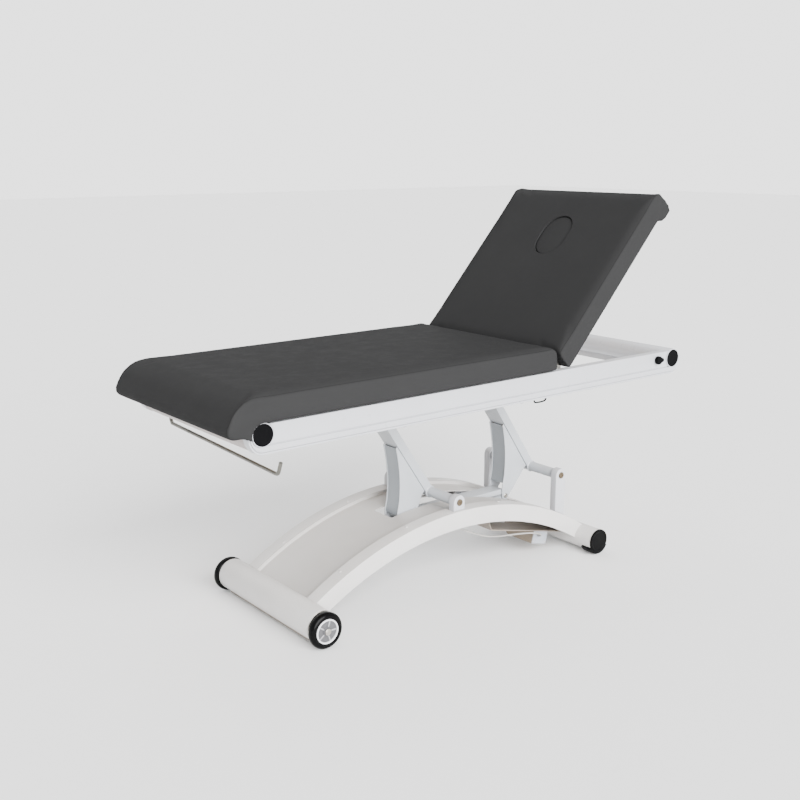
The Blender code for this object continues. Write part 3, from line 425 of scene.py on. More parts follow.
def turned(profile: Sequence[Point2], centre: Sequence[float],
           axis: Sequence[float] = (0.0, 1.0, 0.0), steps: int = 64) -> bmesh.types.BMesh:
    """Turn a profile about an axis.

    Args:
        profile: (radius, distance along the axis) points; a profile clear of the axis is closed.
        centre: point on the axis where the distance is 0.
        axis: direction of the axis.
        steps: number of facets round.

    Returns:
        The closed turned solid.
    """
    bm = bmesh.new()
    verts = [bm.verts.new((radius, 0.0, along)) for radius, along in profile]
    edges = [bm.edges.new(pair) for pair in zip(verts, verts[1:])]
    if min(radius for radius, _ in profile) > 0.0:
        edges.append(bm.edges.new((verts[-1], verts[0])))
    bmesh.ops.spin(bm, geom=verts + edges, axis=(0, 0, 1), cent=(0, 0, 0), angle=math.tau,
                   steps=steps, use_merge=True)
    bmesh.ops.remove_doubles(bm, verts=bm.verts, dist=1e-6)
    turn = Vector(axis).to_track_quat('Z', 'Y').to_matrix().to_4x4()
    bmesh.ops.transform(bm, matrix=Matrix.Translation(centre) @ turn, verts=bm.verts)
    bmesh.ops.recalc_face_normals(bm, faces=bm.faces)
    return bm


def tube(outer: float, inner: float, start: Sequence[float], end: Sequence[float],
         steps: int = 64, width: float = 0.0008) -> bmesh.types.BMesh:
    """A round tube with softened ends, open right through."""
    first, last = Vector(start), Vector(end)
    length = (last - first).length
    profile = rounded([(inner, 0.0), (outer, 0.0, width), (outer, length, width), (inner, length)], 3)
    return turned(profile, first, last - first, steps)


def bar(radius: float, start: Sequence[float], end: Sequence[float], width: float = 0.0008,
        steps: int = 40) -> bmesh.types.BMesh:
    """A round bar with softened ends."""
    first, last = Vector(start), Vector(end)
    length = (last - first).length
    profile = rounded([(0.0, 0.0), (radius, 0.0, width), (radius, length, width), (0.0, length)], 3)
    return turned(profile, first, last - first, steps)


def joined(*shapes: bmesh.types.BMesh) -> bmesh.types.BMesh:
    """Put several closed shapes into one bmesh."""
    whole = bmesh.new()
    for shape in shapes:
        mesh = bpy.data.meshes.new("joined")
        shape.to_mesh(mesh)
        shape.free()
        whole.from_mesh(mesh)
        bpy.data.meshes.remove(mesh)
    return whole


def smooth_route(points: Sequence[Sequence[float]], step: float) -> list[Vector]:
    """Read a Catmull-Rom curve through route points at an even spacing.

    Args:
        points: the route's own points.
        step: distance between the points returned.

    Returns:
        Points along the curve, both ends included.
    """
    pts = [Vector(p) for p in points]
    pts = [2 * pts[0] - pts[1], *pts, 2 * pts[-1] - pts[-2]]
    dense: list[Vector] = []
    for p0, p1, p2, p3 in zip(pts, pts[1:], pts[2:], pts[3:]):
        for k in range(40):
            t = k / 40
            dense.append(0.5 * (2 * p1 + (p2 - p0) * t + (2 * p0 - 5 * p1 + 4 * p2 - p3) * t * t
                                + (3 * p1 - p0 - 3 * p2 + p3) * t ** 3))
    dense.append(pts[-2])
    lengths = [0.0]
    for a, b in zip(dense, dense[1:]):
        lengths.append(lengths[-1] + (b - a).length)
    count = max(2, round(lengths[-1] / step))
    route, index = [], 0
    for k in range(count + 1):
        goal = lengths[-1] * k / count
        while index < len(lengths) - 2 and lengths[index + 1] < goal:
            index += 1
        span = lengths[index + 1] - lengths[index]
        route.append(dense[index].lerp(dense[index + 1], (goal - lengths[index]) / span))
    return route


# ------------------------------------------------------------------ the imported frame
class Frame:
    """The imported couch: boxes of its nodes and places of its joints."""

    def __init__(self) -> None:
        """Load the frame and keep its joints by name."""
        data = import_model()
        self.nodes = data["nodes"]
        self.joints = {joint["name"]: joint for joint in data["joints"]}

    def low(self, node: str) -> Vector:
        """Lowest corner of a node."""
        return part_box(node)[0]

    def high(self, node: str) -> Vector:
        """Highest corner of a node."""
        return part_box(node)[1]

    def middle(self, node: str) -> Vector:
        """Middle of a node's box."""
        low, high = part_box(node)
        return (low + high) / 2

    def pivot(self, joint: str) -> Vector:
        """A point on a joint's axis."""
        return Vector(self.joints[joint]["pos_m"])

    def dress(self, finish: Finish, look: str, *names: str) -> None:
        """Give CAD nodes that stay in view their finish.

        Args:
            finish: the finish.
            look: the material's name.
            names: the nodes.
        """
        for name in names:
            node = self.nodes[name]
            node.data.materials.clear()
            node.data.materials.append(finish.material(look))
            LOG.info("dressed %s in %s", name, look)


@dataclass
class Workshop:
    """Turns shapes into pieces that ride on the frame."""

    frame: Frame
    made: list[str] = field(default_factory=list)

    def piece(self, name: str, shape: bmesh.types.BMesh, finish: Finish, look: str, body: str,
              stands_for: Sequence[str] = (), crease: float = 35.0) -> bpy.types.Object:
        """Make one piece from a shape.

        Args:
            name: the piece's name.
            shape: its bmesh, which is used up.
            finish: its finish.
            look: the material's name.
            body: the frame's body it rides on.
            stands_for: CAD nodes it replaces.
            crease: edges sharper than this stay crisp, in degrees.

        Returns:
            The piece's object.
        """
        mesh = bpy.data.meshes.new(name)
        shape.to_mesh(mesh)
        shape.free()
        mesh.materials.append(finish.material(look))
        mesh.shade_smooth()
        mesh.set_sharp_from_angle(angle=math.radians(crease))
        made = bpy.data.objects.new(name, mesh)
        bpy.context.scene.collection.objects.link(made)
        return self.settle(made, body, stands_for)

    def wire(self, name: str, points: Sequence[Vector], radius: float, finish: Finish, look: str,
             body: str, stands_for: Sequence[str] = ()) -> bpy.types.Object:
        """Make a round wire or cord along points, as a curve."""
        curve = bpy.data.curves.new(name, 'CURVE')
        curve.dimensions = '3D'
        curve.bevel_depth = radius
        curve.bevel_resolution = 6
        curve.use_fill_caps = True
        spline = curve.splines.new('POLY')
        spline.points.add(len(points) - 1)
        for target, point in zip(spline.points, points):
            target.co = (*point, 1.0)
        spline.use_smooth = True
        curve.materials.append(finish.material(look))
        made = bpy.data.objects.new(name, curve)
        bpy.context.scene.collection.objects.link(made)
        return self.settle(made, body, stands_for)

    def settle(self, made: bpy.types.Object, body: str,
               stands_for: Sequence[str]) -> bpy.types.Object:
        """Let a piece ride, say what it replaces, and report it."""
        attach(made, body)
        if stands_for:
            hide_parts(*stands_for)
        self.made.append(made.name)
        LOG.info("made %s on %s", made.name, body)
        return made

    def screw(self, name: str, at: Sequence[float], out: Sequence[float], radius: float,
              finish: Finish, look: str, body: str) -> None:
        """Set a domed cross-head screw on a face, its head along the direction out."""
        head = 0.45 * radius
        dome = turned([(0.0, -0.001), (radius, -0.001), (radius, 0.15 * head),
                       (0.8 * radius, 0.65 * head), (0.45 * radius, 0.95 * head),
                       (0.34 * radius, head), (0.30 * radius, 0.35 * head), (0.0, 0.35 * head)],
                      at, out, 20)
        self.piece(name, dome, finish, look, body)


# ------------------------------------------------------------------ base
@dataclass
class ArchedBase:
    """Arch rails, deck, floor tubes, feet, wheels and the pillars of the lift."""

    shop: Workshop
    crown_radius: float = 1.100
    soffit_radius: float = 1.065
    soffit_crown: float = 0.214
    sheet: float = 0.003
    deck_drop: float = 0.012
    slot_half: float = 0.048
    slot: tuple[float, float] = (-0.176, 0.476)

    def __post_init__(self) -> None:
        """Read the arch's places from the frame."""
        frame = self.shop.frame
        self.foot = frame.middle("foot_cross_tube")
        self.foot_radius = frame.high("foot_cross_tube").z - self.foot.z
        self.head = frame.middle("head_cross_tube")
        self.head_radius = frame.high("head_cross_tube").z - self.head.z
        self.crown = (0.0, 0.275 - self.crown_radius)
        self.soffit = (0.0, self.soffit_crown - self.soffit_radius)
        self.rim_out = frame.high("far_arch_rail").y
        self.rim_in = frame.low("far_arch_rail").y

    def build(self) -> None:
        """Make the whole base."""
        self.rails()
        self.deck()
        self.floor_tubes()
        self.feet()
        self.wheels()
        self.pillars()
        self.screws()

    def height(self, x: float, drop: float = 0.0) -> float:
        """Height of the arch's top at x, a little lower by drop."""
        return self.crown[1] + math.sqrt((self.crown_radius - drop) ** 2 - x * x)

    def meeting(self, centre: Point2, radius: float, tube_centre: Point2, tube_radius: float) -> Vector:
        """Where an arc meets a floor tube on the couch's inner side."""
        first, second = Vector(centre), Vector(tube_centre)
        span = second - first
        along = (radius ** 2 - tube_radius ** 2 + span.length_squared) / (2 * span.length)
        rise = math.sqrt(radius ** 2 - along ** 2)
        unit = span.normalized()
        side = Vector((-unit.y, unit.x))
        both = (first + unit * along + side * rise, first + unit * along - side * rise)
        return min(both, key=lambda p: abs(p.x))

    def side_view(self) -> Outline:
        """Outline of an arch rail between the two floor tubes."""
        ends = {}
        for key, tube_at, radius in (("foot", self.foot, self.foot_radius),
                                     ("head", self.head, self.head_radius)):
            centre, reach = (tube_at.x, tube_at.z), radius + GAP
            top = self.meeting(self.crown, self.crown_radius, centre, reach)
            low = self.meeting(self.soffit, self.soffit_radius, centre, reach)
            ends[key] = (centre, reach, top, low)

        def angle(centre: Point2, point: Vector) -> float:
            """Direction of a point seen from a centre, in degrees."""
            return math.degrees(math.atan2(point.y - centre[1], point.x - centre[0]))

        centre_f, reach_f, top_f, low_f = ends["foot"]
        centre_h, reach_h, top_h, low_h = ends["head"]
        top = arc(*self.crown, self.crown_radius, angle(self.crown, top_f), angle(self.crown, top_h), 72)
        head = arc(*centre_h, reach_h, angle(centre_h, top_h), angle(centre_h, low_h) % 360, 12)
        low = arc(*self.soffit, self.soffit_radius, angle(self.soffit, low_h),
                  angle(self.soffit, low_f), 72)
        foot = arc(*centre_f, reach_f, angle(centre_f, low_f), angle(centre_f, top_f), 12)
        return top + head[1:-1] + low + foot[1:-1]

    def rails(self) -> None:
        """Two pressed side rails, hollow towards the middle."""
        for side, end in SIDES:
            shape = pan(self.side_view(), side * self.rim_out, side * self.rim_in, self.sheet, 0.0030)
            self.shop.piece(f"{end}_arch_pressing", shape, BASE, "base_paint", "base",
                            (f"{end}_arch_rail",), 28.0)

    def deck(self) -> None:
        """Curved plate between the rims, turned up at its sides and slotted for the levers."""
        low, high = self.shop.frame.low("arch_deck"), self.shop.frame.high("arch_deck")
        half, plate = self.rim_in - GAP, self.crown_radius - self.deck_drop
        start = math.asin((low.x + 0.004) / plate)
        end = math.asin((high.x - 0.001) / plate)
        fold = 0.004
        section = rounded([(-half, self.crown_radius), (-half + 0.003, self.crown_radius),
                           (-half + 0.003, plate, fold), (half - 0.003, plate, fold),
                           (half - 0.003, self.crown_radius), (half, self.crown_radius),
                           (half, plate - 0.003, fold + 0.003), (-half, plate - 0.003, fold + 0.003)], 4)
        bm = bmesh.new()
        ring = [bm.verts.new((r * math.sin(start), y, self.crown[1] + r * math.cos(start)))
                for y, r in section]
        face = bm.faces.new(ring)
        bmesh.ops.spin(bm, geom=[face, *face.edges, *face.verts], axis=(0, 1, 0),
                       cent=(0, 0, self.crown[1]), angle=end - start, steps=84)
        bmesh.ops.recalc_face_normals(bm, faces=bm.faces)
        # The deck plate's darker base paint is painted shade.
        piece = self.shop.piece("deck_plate", bm, DECK_IN_SHADE, "deck_paint_in_shade", "base", ("arch_deck",), 30.0)
        middle, reach = sum(self.slot) / 2, (self.slot[1] - self.slot[0]) / 2
        corners = [(-reach, -self.slot_half, 0.008), (reach, -self.slot_half, 0.008),
                   (reach, self.slot_half, 0.008), (-reach, self.slot_half, 0.008)]
        cutter = bmesh.new()
        flat = cutter.faces.new([cutter.verts.new((middle + x, y, 0.05))
                                 for x, y in rounded(corners, 4)])
        grown = bmesh.ops.extrude_face_region(cutter, geom=[flat])
        bmesh.ops.translate(cutter, vec=(0, 0, 0.3),
                            verts=[v for v in grown["geom"] if isinstance(v, bmesh.types.BMVert)])
        bmesh.ops.recalc_face_normals(cutter, faces=cutter.faces)
        reach_f, reach_h = self.foot_radius + GAP, self.head_radius + GAP
        ends = [bar(radius, (at.x, -0.2, at.z), (at.x, 0.2, at.z), 0.0001, 64)
                for radius, at in ((reach_f, self.foot), (reach_h, self.head))]
        for tool in (cutter, *ends):
            cut_away(piece, tool)

    def floor_tubes(self) -> None:
        """The two big cross tubes that the arch stands on, with the keel under the foot tube in painted
        shade.
        """
        for name, at, radius in (("foot", self.foot, self.foot_radius),
                                 ("head", self.head, self.head_radius)):
            half = self.shop.frame.high(f"{name}_cross_tube").y
            shape = tube(radius, radius - self.sheet, (at.x, -half, at.z), (at.x, half, at.z), 96)
            self.shop.piece(f"{name}_floor_tube", shape, BASE, "base_paint", "base",
                            (f"{name}_cross_tube",))
        # The keel is a flat plate under the foot tube; its dark brown is painted shade.
        keel = block((self.foot.x - 0.020, -0.245, 0.0065), (self.foot.x + 0.020, 0.245, 0.0165), 0.002)
        self.shop.piece("foot_keel", keel, BASE_IN_SHADE, "base_paint_in_shade", "base")

    def feet(self) -> None:
        """Moulded black ends of the head tube, each with a shoe under the tube."""
        at, radius = self.head, self.head_radius
        sole = at.z / math.cos(math.radians(8))
        for side, end in SIDES:
            cap = turned(rounded([(0.0, 0.254), (radius - 0.004, 0.254), (radius - 0.004, 0.2723),
                                  (radius + 0.001, 0.2723, 0.0006), (radius + 0.001, 0.2795, 0.0022),
                                  (radius - 0.007, 0.2795, 0.001), (radius - 0.009, 0.2780, 0.001),
                                  (0.0, 0.2780)], 4),
                         (at.x, 0.0, at.z), (0.0, float(side), 0.0), 72)
            shoe = rounded([*arc(at.x, at.z, sole, 207, 262, 16), *arc(at.x, at.z, sole, 278, 333, 16),
                            *arc(at.x, at.z, radius + GAP, 333, 207, 40)], 3)
            shape = prism(shoe, side * 0.231, side * 0.2785, 0.0018)
            self.shop.piece(f"{end}_moulded_foot", joined(cap, shape), FOOT_RUBBER, "foot_rubber",
                            "base", (f"floor_foot_{end}",))

    def wheels(self) -> None:
        """Transport wheels: glossy tyre, pale ring, spoked disc, washer and domed axle end."""
        frame = self.shop.frame
        for side, end in SIDES:
            pivot = frame.pivot(f"{end}_wheel_spin")
            radius = frame.high(f"{end}_tyre").z - pivot.z
            inner = abs(frame.low("far_tyre").y)
            outer = abs(frame.high("far_tyre").y)
            body, axis = f"{end}_wheel", (0.0, float(side), 0.0)
            centre = (pivot.x, 0.0, pivot.z)
            seat = 0.0385
            tyre = rounded([(seat, inner + 0.002), (radius, inner, 0.010), (radius, outer, 0.0115),
                            (seat + 0.002, outer - 0.0005, 0.0012), (seat, outer - 0.004)], 8)
            self.shop.piece(f"{end}_wheel_tyre", turned(tyre, centre, axis, 96), TYRE, "tyre_black",
                            body, (f"{end}_tyre",))
            self.shop.piece(f"{end}_wheel_ring", self.ring(seat, inner, outer, centre, axis), RIM,
                            "wheel_ring", body, (f"{end}_hub",))
            self.shop.piece(f"{end}_wheel_disc", self.disc(seat, outer, centre, side), DISC,
                            "wheel_disc", body)
            self.shop.piece(f"{end}_wheel_spokes", self.spokes(seat, outer, centre, side), GREY,
                            "wheel_spokes", body)
            plug = self.shop.frame.high("foot_cross_tube").y
            axle = joined(
                turned(rounded([(0.0, plug - 0.012), (0.0465, plug - 0.012), (0.0465, plug + 0.0010),
                                (0.0500, plug + 0.0010, 0.0008), (0.0500, plug + 0.0034, 0.0012),
                                (0.0, plug + 0.0034)], 3), (self.foot.x, 0.0, self.foot.z), axis, 72),
                turned(rounded([(0.0, plug + 0.001), (0.0078, plug + 0.001), (0.0078, 0.2978),
                                (0.0102, 0.2978, 0.0004), (0.0102, 0.2995, 0.0012),
                                (0.0, 0.3000)], 3), centre, axis, 40))
            self.shop.piece(f"{end}_wheel_axle", axle, ZINC, "zinc", "base", (f"wheel_axle_{end}",))

    def ring(self, seat: float, inner: float, outer: float, centre: Sequence[float],
             axis: Sequence[float]) -> bmesh.types.BMesh:
        """Pale rim ring of a wheel."""
        lip = rounded([(seat - 0.0045, outer - 0.0068), (seat - 0.0045, outer - 0.0004, 0.0008),
                       (seat - GAP, outer - 0.0004, 0.0010), (seat - GAP, inner + 0.003),
                       (seat - 0.0045, inner + 0.003)], 3)
        return turned(lip, centre, axis, 96)

    def disc(self, seat: float, outer: float, centre: Sequence[float], side: int) -> bmesh.types.BMesh:
        """Wheel disc round a boss, bored for the axle."""
        axis = (0.0, float(side), 0.0)
        edge = seat - 0.0047
        web = turned(rounded([(0.0086, outer - 0.020), (edge, outer - 0.020), (edge, outer - 0.0052),
                              (0.0150, outer - 0.0052, 0.0006), (0.0145, outer - 0.0020, 0.0010),
                              (0.0086, outer - 0.0020)], 3), centre, axis, 72)
        back = turned([(0.0086, 0.0), (0.013, 0.0), (0.013, 0.012), (0.0086, 0.012)],
                      (centre[0], side * (outer - 0.030), centre[2]), axis, 40)
        return joined(web, back)

    def spokes(self, seat: float, outer: float, centre: Sequence[float],
               side: int) -> bmesh.types.BMesh:
        """Raised spokes on a wheel's disc."""
        axis, edge = (0.0, float(side), 0.0), seat - 0.0047
        spokes = []
        for k in range(5):
            spoke = block((0.0146, -0.0022, outer - 0.0058), (edge - 0.0004, 0.0022, outer - 0.0026),
                          0.0008, 2)
            turn = Matrix.Rotation(math.tau * k / 5, 4, 'Z')
            upright = Vector(axis).to_track_quat('Z', 'Y').to_matrix().to_4x4()
            bmesh.ops.transform(spoke, matrix=Matrix.Translation(centre) @ upright @ turn,
                                verts=spoke.verts)
            spokes.append(spoke)
        return joined(*spokes)

    def pillars(self) -> None:
        """Round-topped pillars with the plated ends of the pivot shafts."""
        frame = self.shop.frame
        for name in ("front", "rear"):
            pivot = frame.pivot(f"{name}_arm_pivot")
            half = (frame.high(f"{name}_pillar_far").x - frame.low(f"{name}_pillar_far").x) / 2
            foot = [(pivot.x + half * (1 - i / 8), 0.0) for i in range(17)]
            outline = arc(pivot.x, pivot.z, half, 0, 180, 32) + [
                (x, self.height(x) + GAP) for x, _ in reversed(foot)]
            for side, end in SIDES:
                outer, inner = frame.high(f"{name}_pillar_far").y, frame.low(f"{name}_pillar_far").y
                shape = prism(outline, side * outer, side * inner, 0.0022)
                piece = self.shop.piece(f"{name}_{end}_pillar", shape, WHITE, "white_paint", "base",
                                        (f"{name}_pillar_{end}",))
                cut_away(piece, bar(0.0100, (pivot.x, side * 0.150, pivot.z),
                                    (pivot.x, side * 0.200, pivot.z), 0.0001, 40))
            tip = frame.high(f"{name}_pivot_shaft").y
            face = frame.high(f"{name}_pillar_far").y + GAP
            half_profile = [(0.0095, face), (0.0116, face), (0.0116, tip - 0.0012),
                            (0.0106, tip), (0.0045, tip), (0.0040, tip - 0.0016), (0.0, tip - 0.0016)]
            profile = [(r, -y) for r, y in reversed(half_profile)] + half_profile
            self.shop.piece(f"{name}_shaft", turned(profile, (pivot.x, 0.0, pivot.z), steps=36),
                            YELLOW_ZINC, "yellow_zinc", "base", (f"{name}_pivot_shaft",))

    def screws(self) -> None:
        """Painted domed screws that hold the rims to the deck."""
        for side, end in SIDES:
            for index, x in enumerate((-0.470, -0.205, 0.205, 0.500)):
                out = Vector((x, 0.0, self.height(x) - self.crown[1])).normalized()
                at = (x, side * 0.163, self.height(x))
                self.shop.screw(f"{end}_rim_screw_{index}", at, out, 0.0055, BASE, "base_paint", "base")


def apply_modifiers(piece: bpy.types.Object) -> None:
    """Make a piece's modifiers part of its mesh."""
    bpy.context.view_layer.update()
    graph = bpy.context.evaluated_depsgraph_get()
    result = bpy.data.meshes.new_from_object(piece.evaluated_get(graph))
    piece.modifiers.clear()
    old, name = piece.data, piece.name
    piece.data = result
    bpy.data.meshes.remove(old)
    result.name = name


def cut_away(piece: bpy.types.Object, cutter: bmesh.types.BMesh) -> None:
    """Take a shape out of a piece for good.

    Args:
        piece: the piece, whose mesh changes.
        cutter: the closed shape to take away, which is used up.
    """
    mesh = bpy.data.meshes.new("cutter")
    cutter.to_mesh(mesh)
    cutter.free()
    tool = bpy.data.objects.new("cutter", mesh)
    bpy.context.scene.collection.objects.link(tool)
    modifier = piece.modifiers.new("cut", 'BOOLEAN')
    modifier.operation = 'DIFFERENCE'
    modifier.object = tool
    modifier.solver = 'EXACT'
    apply_modifiers(piece)
    bpy.data.objects.remove(tool)
    bpy.data.meshes.remove(mesh)


# ------------------------------------------------------------------ controls
@dataclass
class Controls:
    """Tray, control box with its end panel and inlet, and the actuator's lead."""

    shop: Workshop
    tilt: float = math.radians(13.5)
    lead_radius: float = 0.0030
    lead_route: tuple[tuple[float, float, float], ...] = (
        (-0.012, -0.118, 0.2582), (-0.006, -0.119, 0.2440), (0.004, -0.120, 0.2270),
        (0.020, -0.122, 0.2060), (0.044, -0.125, 0.1880), (0.080, -0.129, 0.1690),
        (0.125, -0.133, 0.1480), (0.170, -0.137, 0.1300), (0.220, -0.141, 0.1180),
        (0.275, -0.145, 0.1110), (0.330, -0.149, 0.1050), (0.375, -0.153, 0.0985),
        (0.405, -0.156, 0.0915), (0.425, -0.1565, 0.0840), (0.4365, -0.152, 0.0760),
        (0.4405, -0.1440, 0.0712), (0.4410, -0.1345, 0.0705))

    def lead(self) -> None:
        """The lead from under the deck to the control box, with its two grommets."""
        route = smooth_route(self.lead_route, 0.006)
        lead = self.shop.wire("motor_lead", route, self.lead_radius, SHEATH, "lead_sheath", "base",
                              ("actuator_lead",))
        for name, index in (("deck", 0), ("box", -1)):
            at = route[index]
            along = (route[1] - route[0]) if index == 0 else (route[-2] - route[-1])
            along.normalize()
            grommet = turned([(0.0033, -0.0002), (0.0062, -0.0002), (0.0064, 0.0012), (0.0052, 0.0034),
                              (0.0044, 0.0090), (0.0038, 0.0115), (0.0033, 0.0115)],
                             at, along, 32)
            self.shop.piece(f"{name}_grommet", grommet, GREY, "grey_plastic", "base")

    def build(self) -> None:
        """Make the tray and the control box."""
        frame = self.shop.frame
        # The tray's brown-grey is painted shade.
        frame.dress(BASE_IN_SHADE, "base_paint_in_shade", "control_tray")
        # The control box's brown is painted shade.
        frame.dress(CASE_IN_SHADE, "case_plastic_in_shade", "control_box")
        frame.dress(PANEL, "panel_plastic", "control_box_panel")
        frame.dress(BLACK, "black_plastic", "power_inlet")
        place = Matrix.Translation((0.457, 0.0, 0.0835)) @ Matrix.Rotation(self.tilt, 4, 'Y')
        corners = ((-0.030, -0.008), (0.030, -0.008), (-0.030, -0.042), (0.030, -0.042))
        for index, (x, z) in enumerate(corners):
            self.shop.screw(f"panel_screw_{index}", place @ Vector((x, -0.1333, z)), (0, -1, 0), 0.0030,
                            ZINC, "zinc", "base")
        frame.dress(WHITE, "white_paint", "actuator_anchor")


# ------------------------------------------------------------------ lift
@dataclass
class Lift:
    """Arms with their gussets and levers, pivot tubes, pins and the link bar."""

    shop: Workshop
    angle: float = math.radians(55.9)
    length: float = 0.4468
    half_y: float = 0.040
    half_t: float = 0.015
    lever: Point2 = (-0.126, -0.090)
    push: Point2 = (-0.100, -0.120)

    def build(self) -> None:
        """Make both arms, the link and the actuator."""
        for name in ("front", "rear"):
            self.arm(name)
        self.link()
        frame = self.shop.frame
        frame.dress(GREY, "grey_plastic", "actuator_housing")
        frame.dress(BRIGHT_ROD, "bright_rod", "actuator_rod")

    def on_arm(self, along: float, across: float) -> Point2:
        """Point on an arm, seen from its pivot."""
        c, s = math.cos(self.angle), math.sin(self.angle)
        return (-along * c + across * s, along * s + across * c)

    def gusset_view(self, with_push: bool) -> Outline:
        """Side view of a gusset plate, seen from the pivot."""
        back = [(-0.147, 0.176), (-0.1415, 0.150), (-0.1370, 0.123), (-0.1335, 0.098), (-0.1315, 0.072),
                (-0.1310, 0.045), (-0.1317, 0.018), (-0.1337, -0.008), (-0.1370, -0.028),
                (-0.1405, -0.042), (-0.1425, -0.060)]
        tip = arc(*self.lever, 0.0165, 190, 300, 14)
        if with_push:
            tip = arc(*self.lever, 0.0165, 190, 215, 5) + arc(*self.push, 0.0155, 225, 330, 12)
        side = self.half_t + GAP
        return back + tip + [(-0.034, -0.004), self.on_arm(0.0185, -side), self.on_arm(0.232, -side)]

    def plates(self, placed: Callable[[Outline], Outline], with_push: bool) -> bmesh.types.BMesh:
        """The two side plates of a gusset, which stand a little proud of its closing sheet.

        Args:
            placed: moves an outline from the pivot to its place.
            with_push: whether the plates reach out to the actuator's pin.

        Returns:
            Both plates, bored for the link pin.
        """
        view = self.gusset_view(with_push)
        bore = arc(*self.lever, 0.0062, 0, 360, 24)[:-1]
        pair = []
        for side in (-1, 1):
            plate = prism(placed(view), side * 0.0318, side * 0.0362, 0.0018)
            mesh = bpy.data.meshes.new("plate")
            plate.to_mesh(mesh)
            plate.free()
            holder = bpy.data.objects.new("plate", mesh)
            bpy.context.scene.collection.objects.link(holder)
            cut_away(holder, prism(placed(bore), -0.05, 0.05))
            bored = bmesh.new()
            bored.from_mesh(holder.data)
            mesh = holder.data
            bpy.data.objects.remove(holder)
            bpy.data.meshes.remove(mesh)
            pair.append(bored)
        return joined(*pair)

    def arm(self, name: str) -> None:
        """One arm with its gusset, pivot tube, top axle and link pin."""
        pivot = self.shop.frame.pivot(f"{name}_arm_pivot")
        body = f"{name}_arm"

        def placed(outline: Outline) -> Outline:
            """Move an outline from the pivot to its place."""
            return [(pivot.x + x, pivot.z + z) for x, z in outline]

        mouth_radius = 0.0175 + GAP
        reach = math.degrees(math.asin(self.half_t / mouth_radius))
        lean = 180.0 - math.degrees(self.angle)
        mouth = arc(0.0, 0.0, mouth_radius, lean + reach, lean - reach, 24)
        top = self.on_arm(self.length, 0.0)
        start = 90.0 - math.degrees(self.angle)
        outline = mouth + arc(*top, self.half_t, start, start + 180.0, 24)
        shape = prism(placed(outline), -self.half_y, self.half_y, 0.0035, 4)
        # The arm and its gusset wear the white paint made darker: painted shade.
        arm_piece = self.shop.piece(f"{name}_lift_arm", shape, LIFT_IN_SHADE, "lift_paint_in_shade", body,
                                    (f"{name}_arm_tube",))
        cut_away(arm_piece, bar(0.0083, (pivot.x + top[0], -0.05, pivot.z + top[1]),
                                (pivot.x + top[0], 0.05, pivot.z + top[1]), 0.0001))

        self.shop.piece(f"{name}_gusset", self.plates(placed, name == "front"), LIFT_IN_SHADE,
                        "lift_paint_in_shade", body, (f"{name}_arm_gusset",), 30.0)
        edge = self.gusset_view(False)[:11 if name == "front" else 10]
        sheet = prism(placed([(x + 0.0035, z) for x, z in edge]
                             + [(x + 0.0065, z) for x, z in reversed(edge)]), -0.0317, 0.0317)
        # The closing sheet's dark blue-grey is painted shade.
        self.shop.piece(f"{name}_closing_sheet", sheet, SHEET_IN_SHADE, "sheet_paint_in_shade", body)
        if name == "front":
            at = (pivot.x + self.push[0], pivot.z + self.push[1])
            end = self.shop.frame.high("front_arm_gusset").y
            pin = bar(0.006, (at[0], 0.0362, at[1]), (at[0], end, at[1]))
            self.shop.piece("push_pin", pin, ZINC, "zinc", body)

        half = self.shop.frame.high(f"{name}_pivot_tube").y
        # The pivot sleeve wears the white paint made darker: painted shade.
        self.shop.piece(f"{name}_pivot_sleeve",
                        tube(0.0175, 0.0110, (pivot.x, -half, pivot.z), (pivot.x, half, pivot.z), 56),
                        LIFT_IN_SHADE, "sleeve_paint_in_shade", body, (f"{name}_pivot_tube",))
        for side, end in SIDES:
            weld = turned(rounded([(0.0177, 0.0), (0.0212, 0.0), (0.0186, 0.0030), (0.0177, 0.0034)], 2),
                          (pivot.x, side * self.half_y, pivot.z), (0, side, 0), 48)
            self.shop.piece(f"{name}_{end}_weld_bead", weld, LIFT_IN_SHADE, "lift_paint_in_shade", body)
        self.shop.frame.dress(ZINC, "zinc", f"{name}_top_axle")
        face, tip = 0.0363, self.shop.frame.high(f"{name}_lever_pin").y
        half_profile = [(0.006, face), (0.0088, face), (0.0088, tip - 0.0008), (0.0078, tip),
                        (0.0040, tip), (0.0036, tip - 0.0012), (0.0, tip - 0.0012)]
        profile = [(r, -y) for r, y in reversed(half_profile)] + half_profile
        pin = turned(profile, (pivot.x + self.lever[0], 0.0, pivot.z + self.lever[1]), steps=32)
        self.shop.piece(f"{name}_link_pin", pin, ZINC, "zinc", body, (f"{name}_lever_pin",))

    def link(self) -> None:
        """Box-section bar between the levers, open at its ends."""
        frame = self.shop.frame
        front, rear = frame.pivot("front_arm_pivot"), frame.pivot("rear_arm_pivot")
        near, far, z = front.x + self.lever[0], rear.x + self.lever[0], rear.z + self.lever[1]
        half_z = (frame.high("link_bar").z - frame.low("link_bar").z) / 2
        half_y = frame.high("link_bar").y
        end = 0.018
        outline = rounded([(near - end, z - 0.010, 0.004), (near - end + 0.012, z - half_z, 0.004),
                           (far + end - 0.012, z - half_z, 0.004), (far + end, z - 0.010, 0.004),
                           (far + end, z + 0.010, 0.004), (far - 0.008, z + half_z, 0.004),
                           (near - end + 0.012, z + half_z, 0.004), (near - end, z + 0.010, 0.004)], 4)
        # The link bar wears the white paint made darker: painted shade.
        piece = self.shop.piece("lift_link", prism(outline, -half_y, half_y, 0.0030, 4), LIFT_IN_SHADE,
                                "lift_paint_in_shade", "link", ("link_bar",))
        cut_away(piece, block((near - 0.05, -half_y + 0.003, z - half_z + 0.003),
                              (far + 0.05, half_y - 0.003, z + half_z - 0.003)))
        for x in (near, far):
            cut_away(piece, bar(0.0065, (x, -0.05, z), (x, 0.05, z), 0.0001))


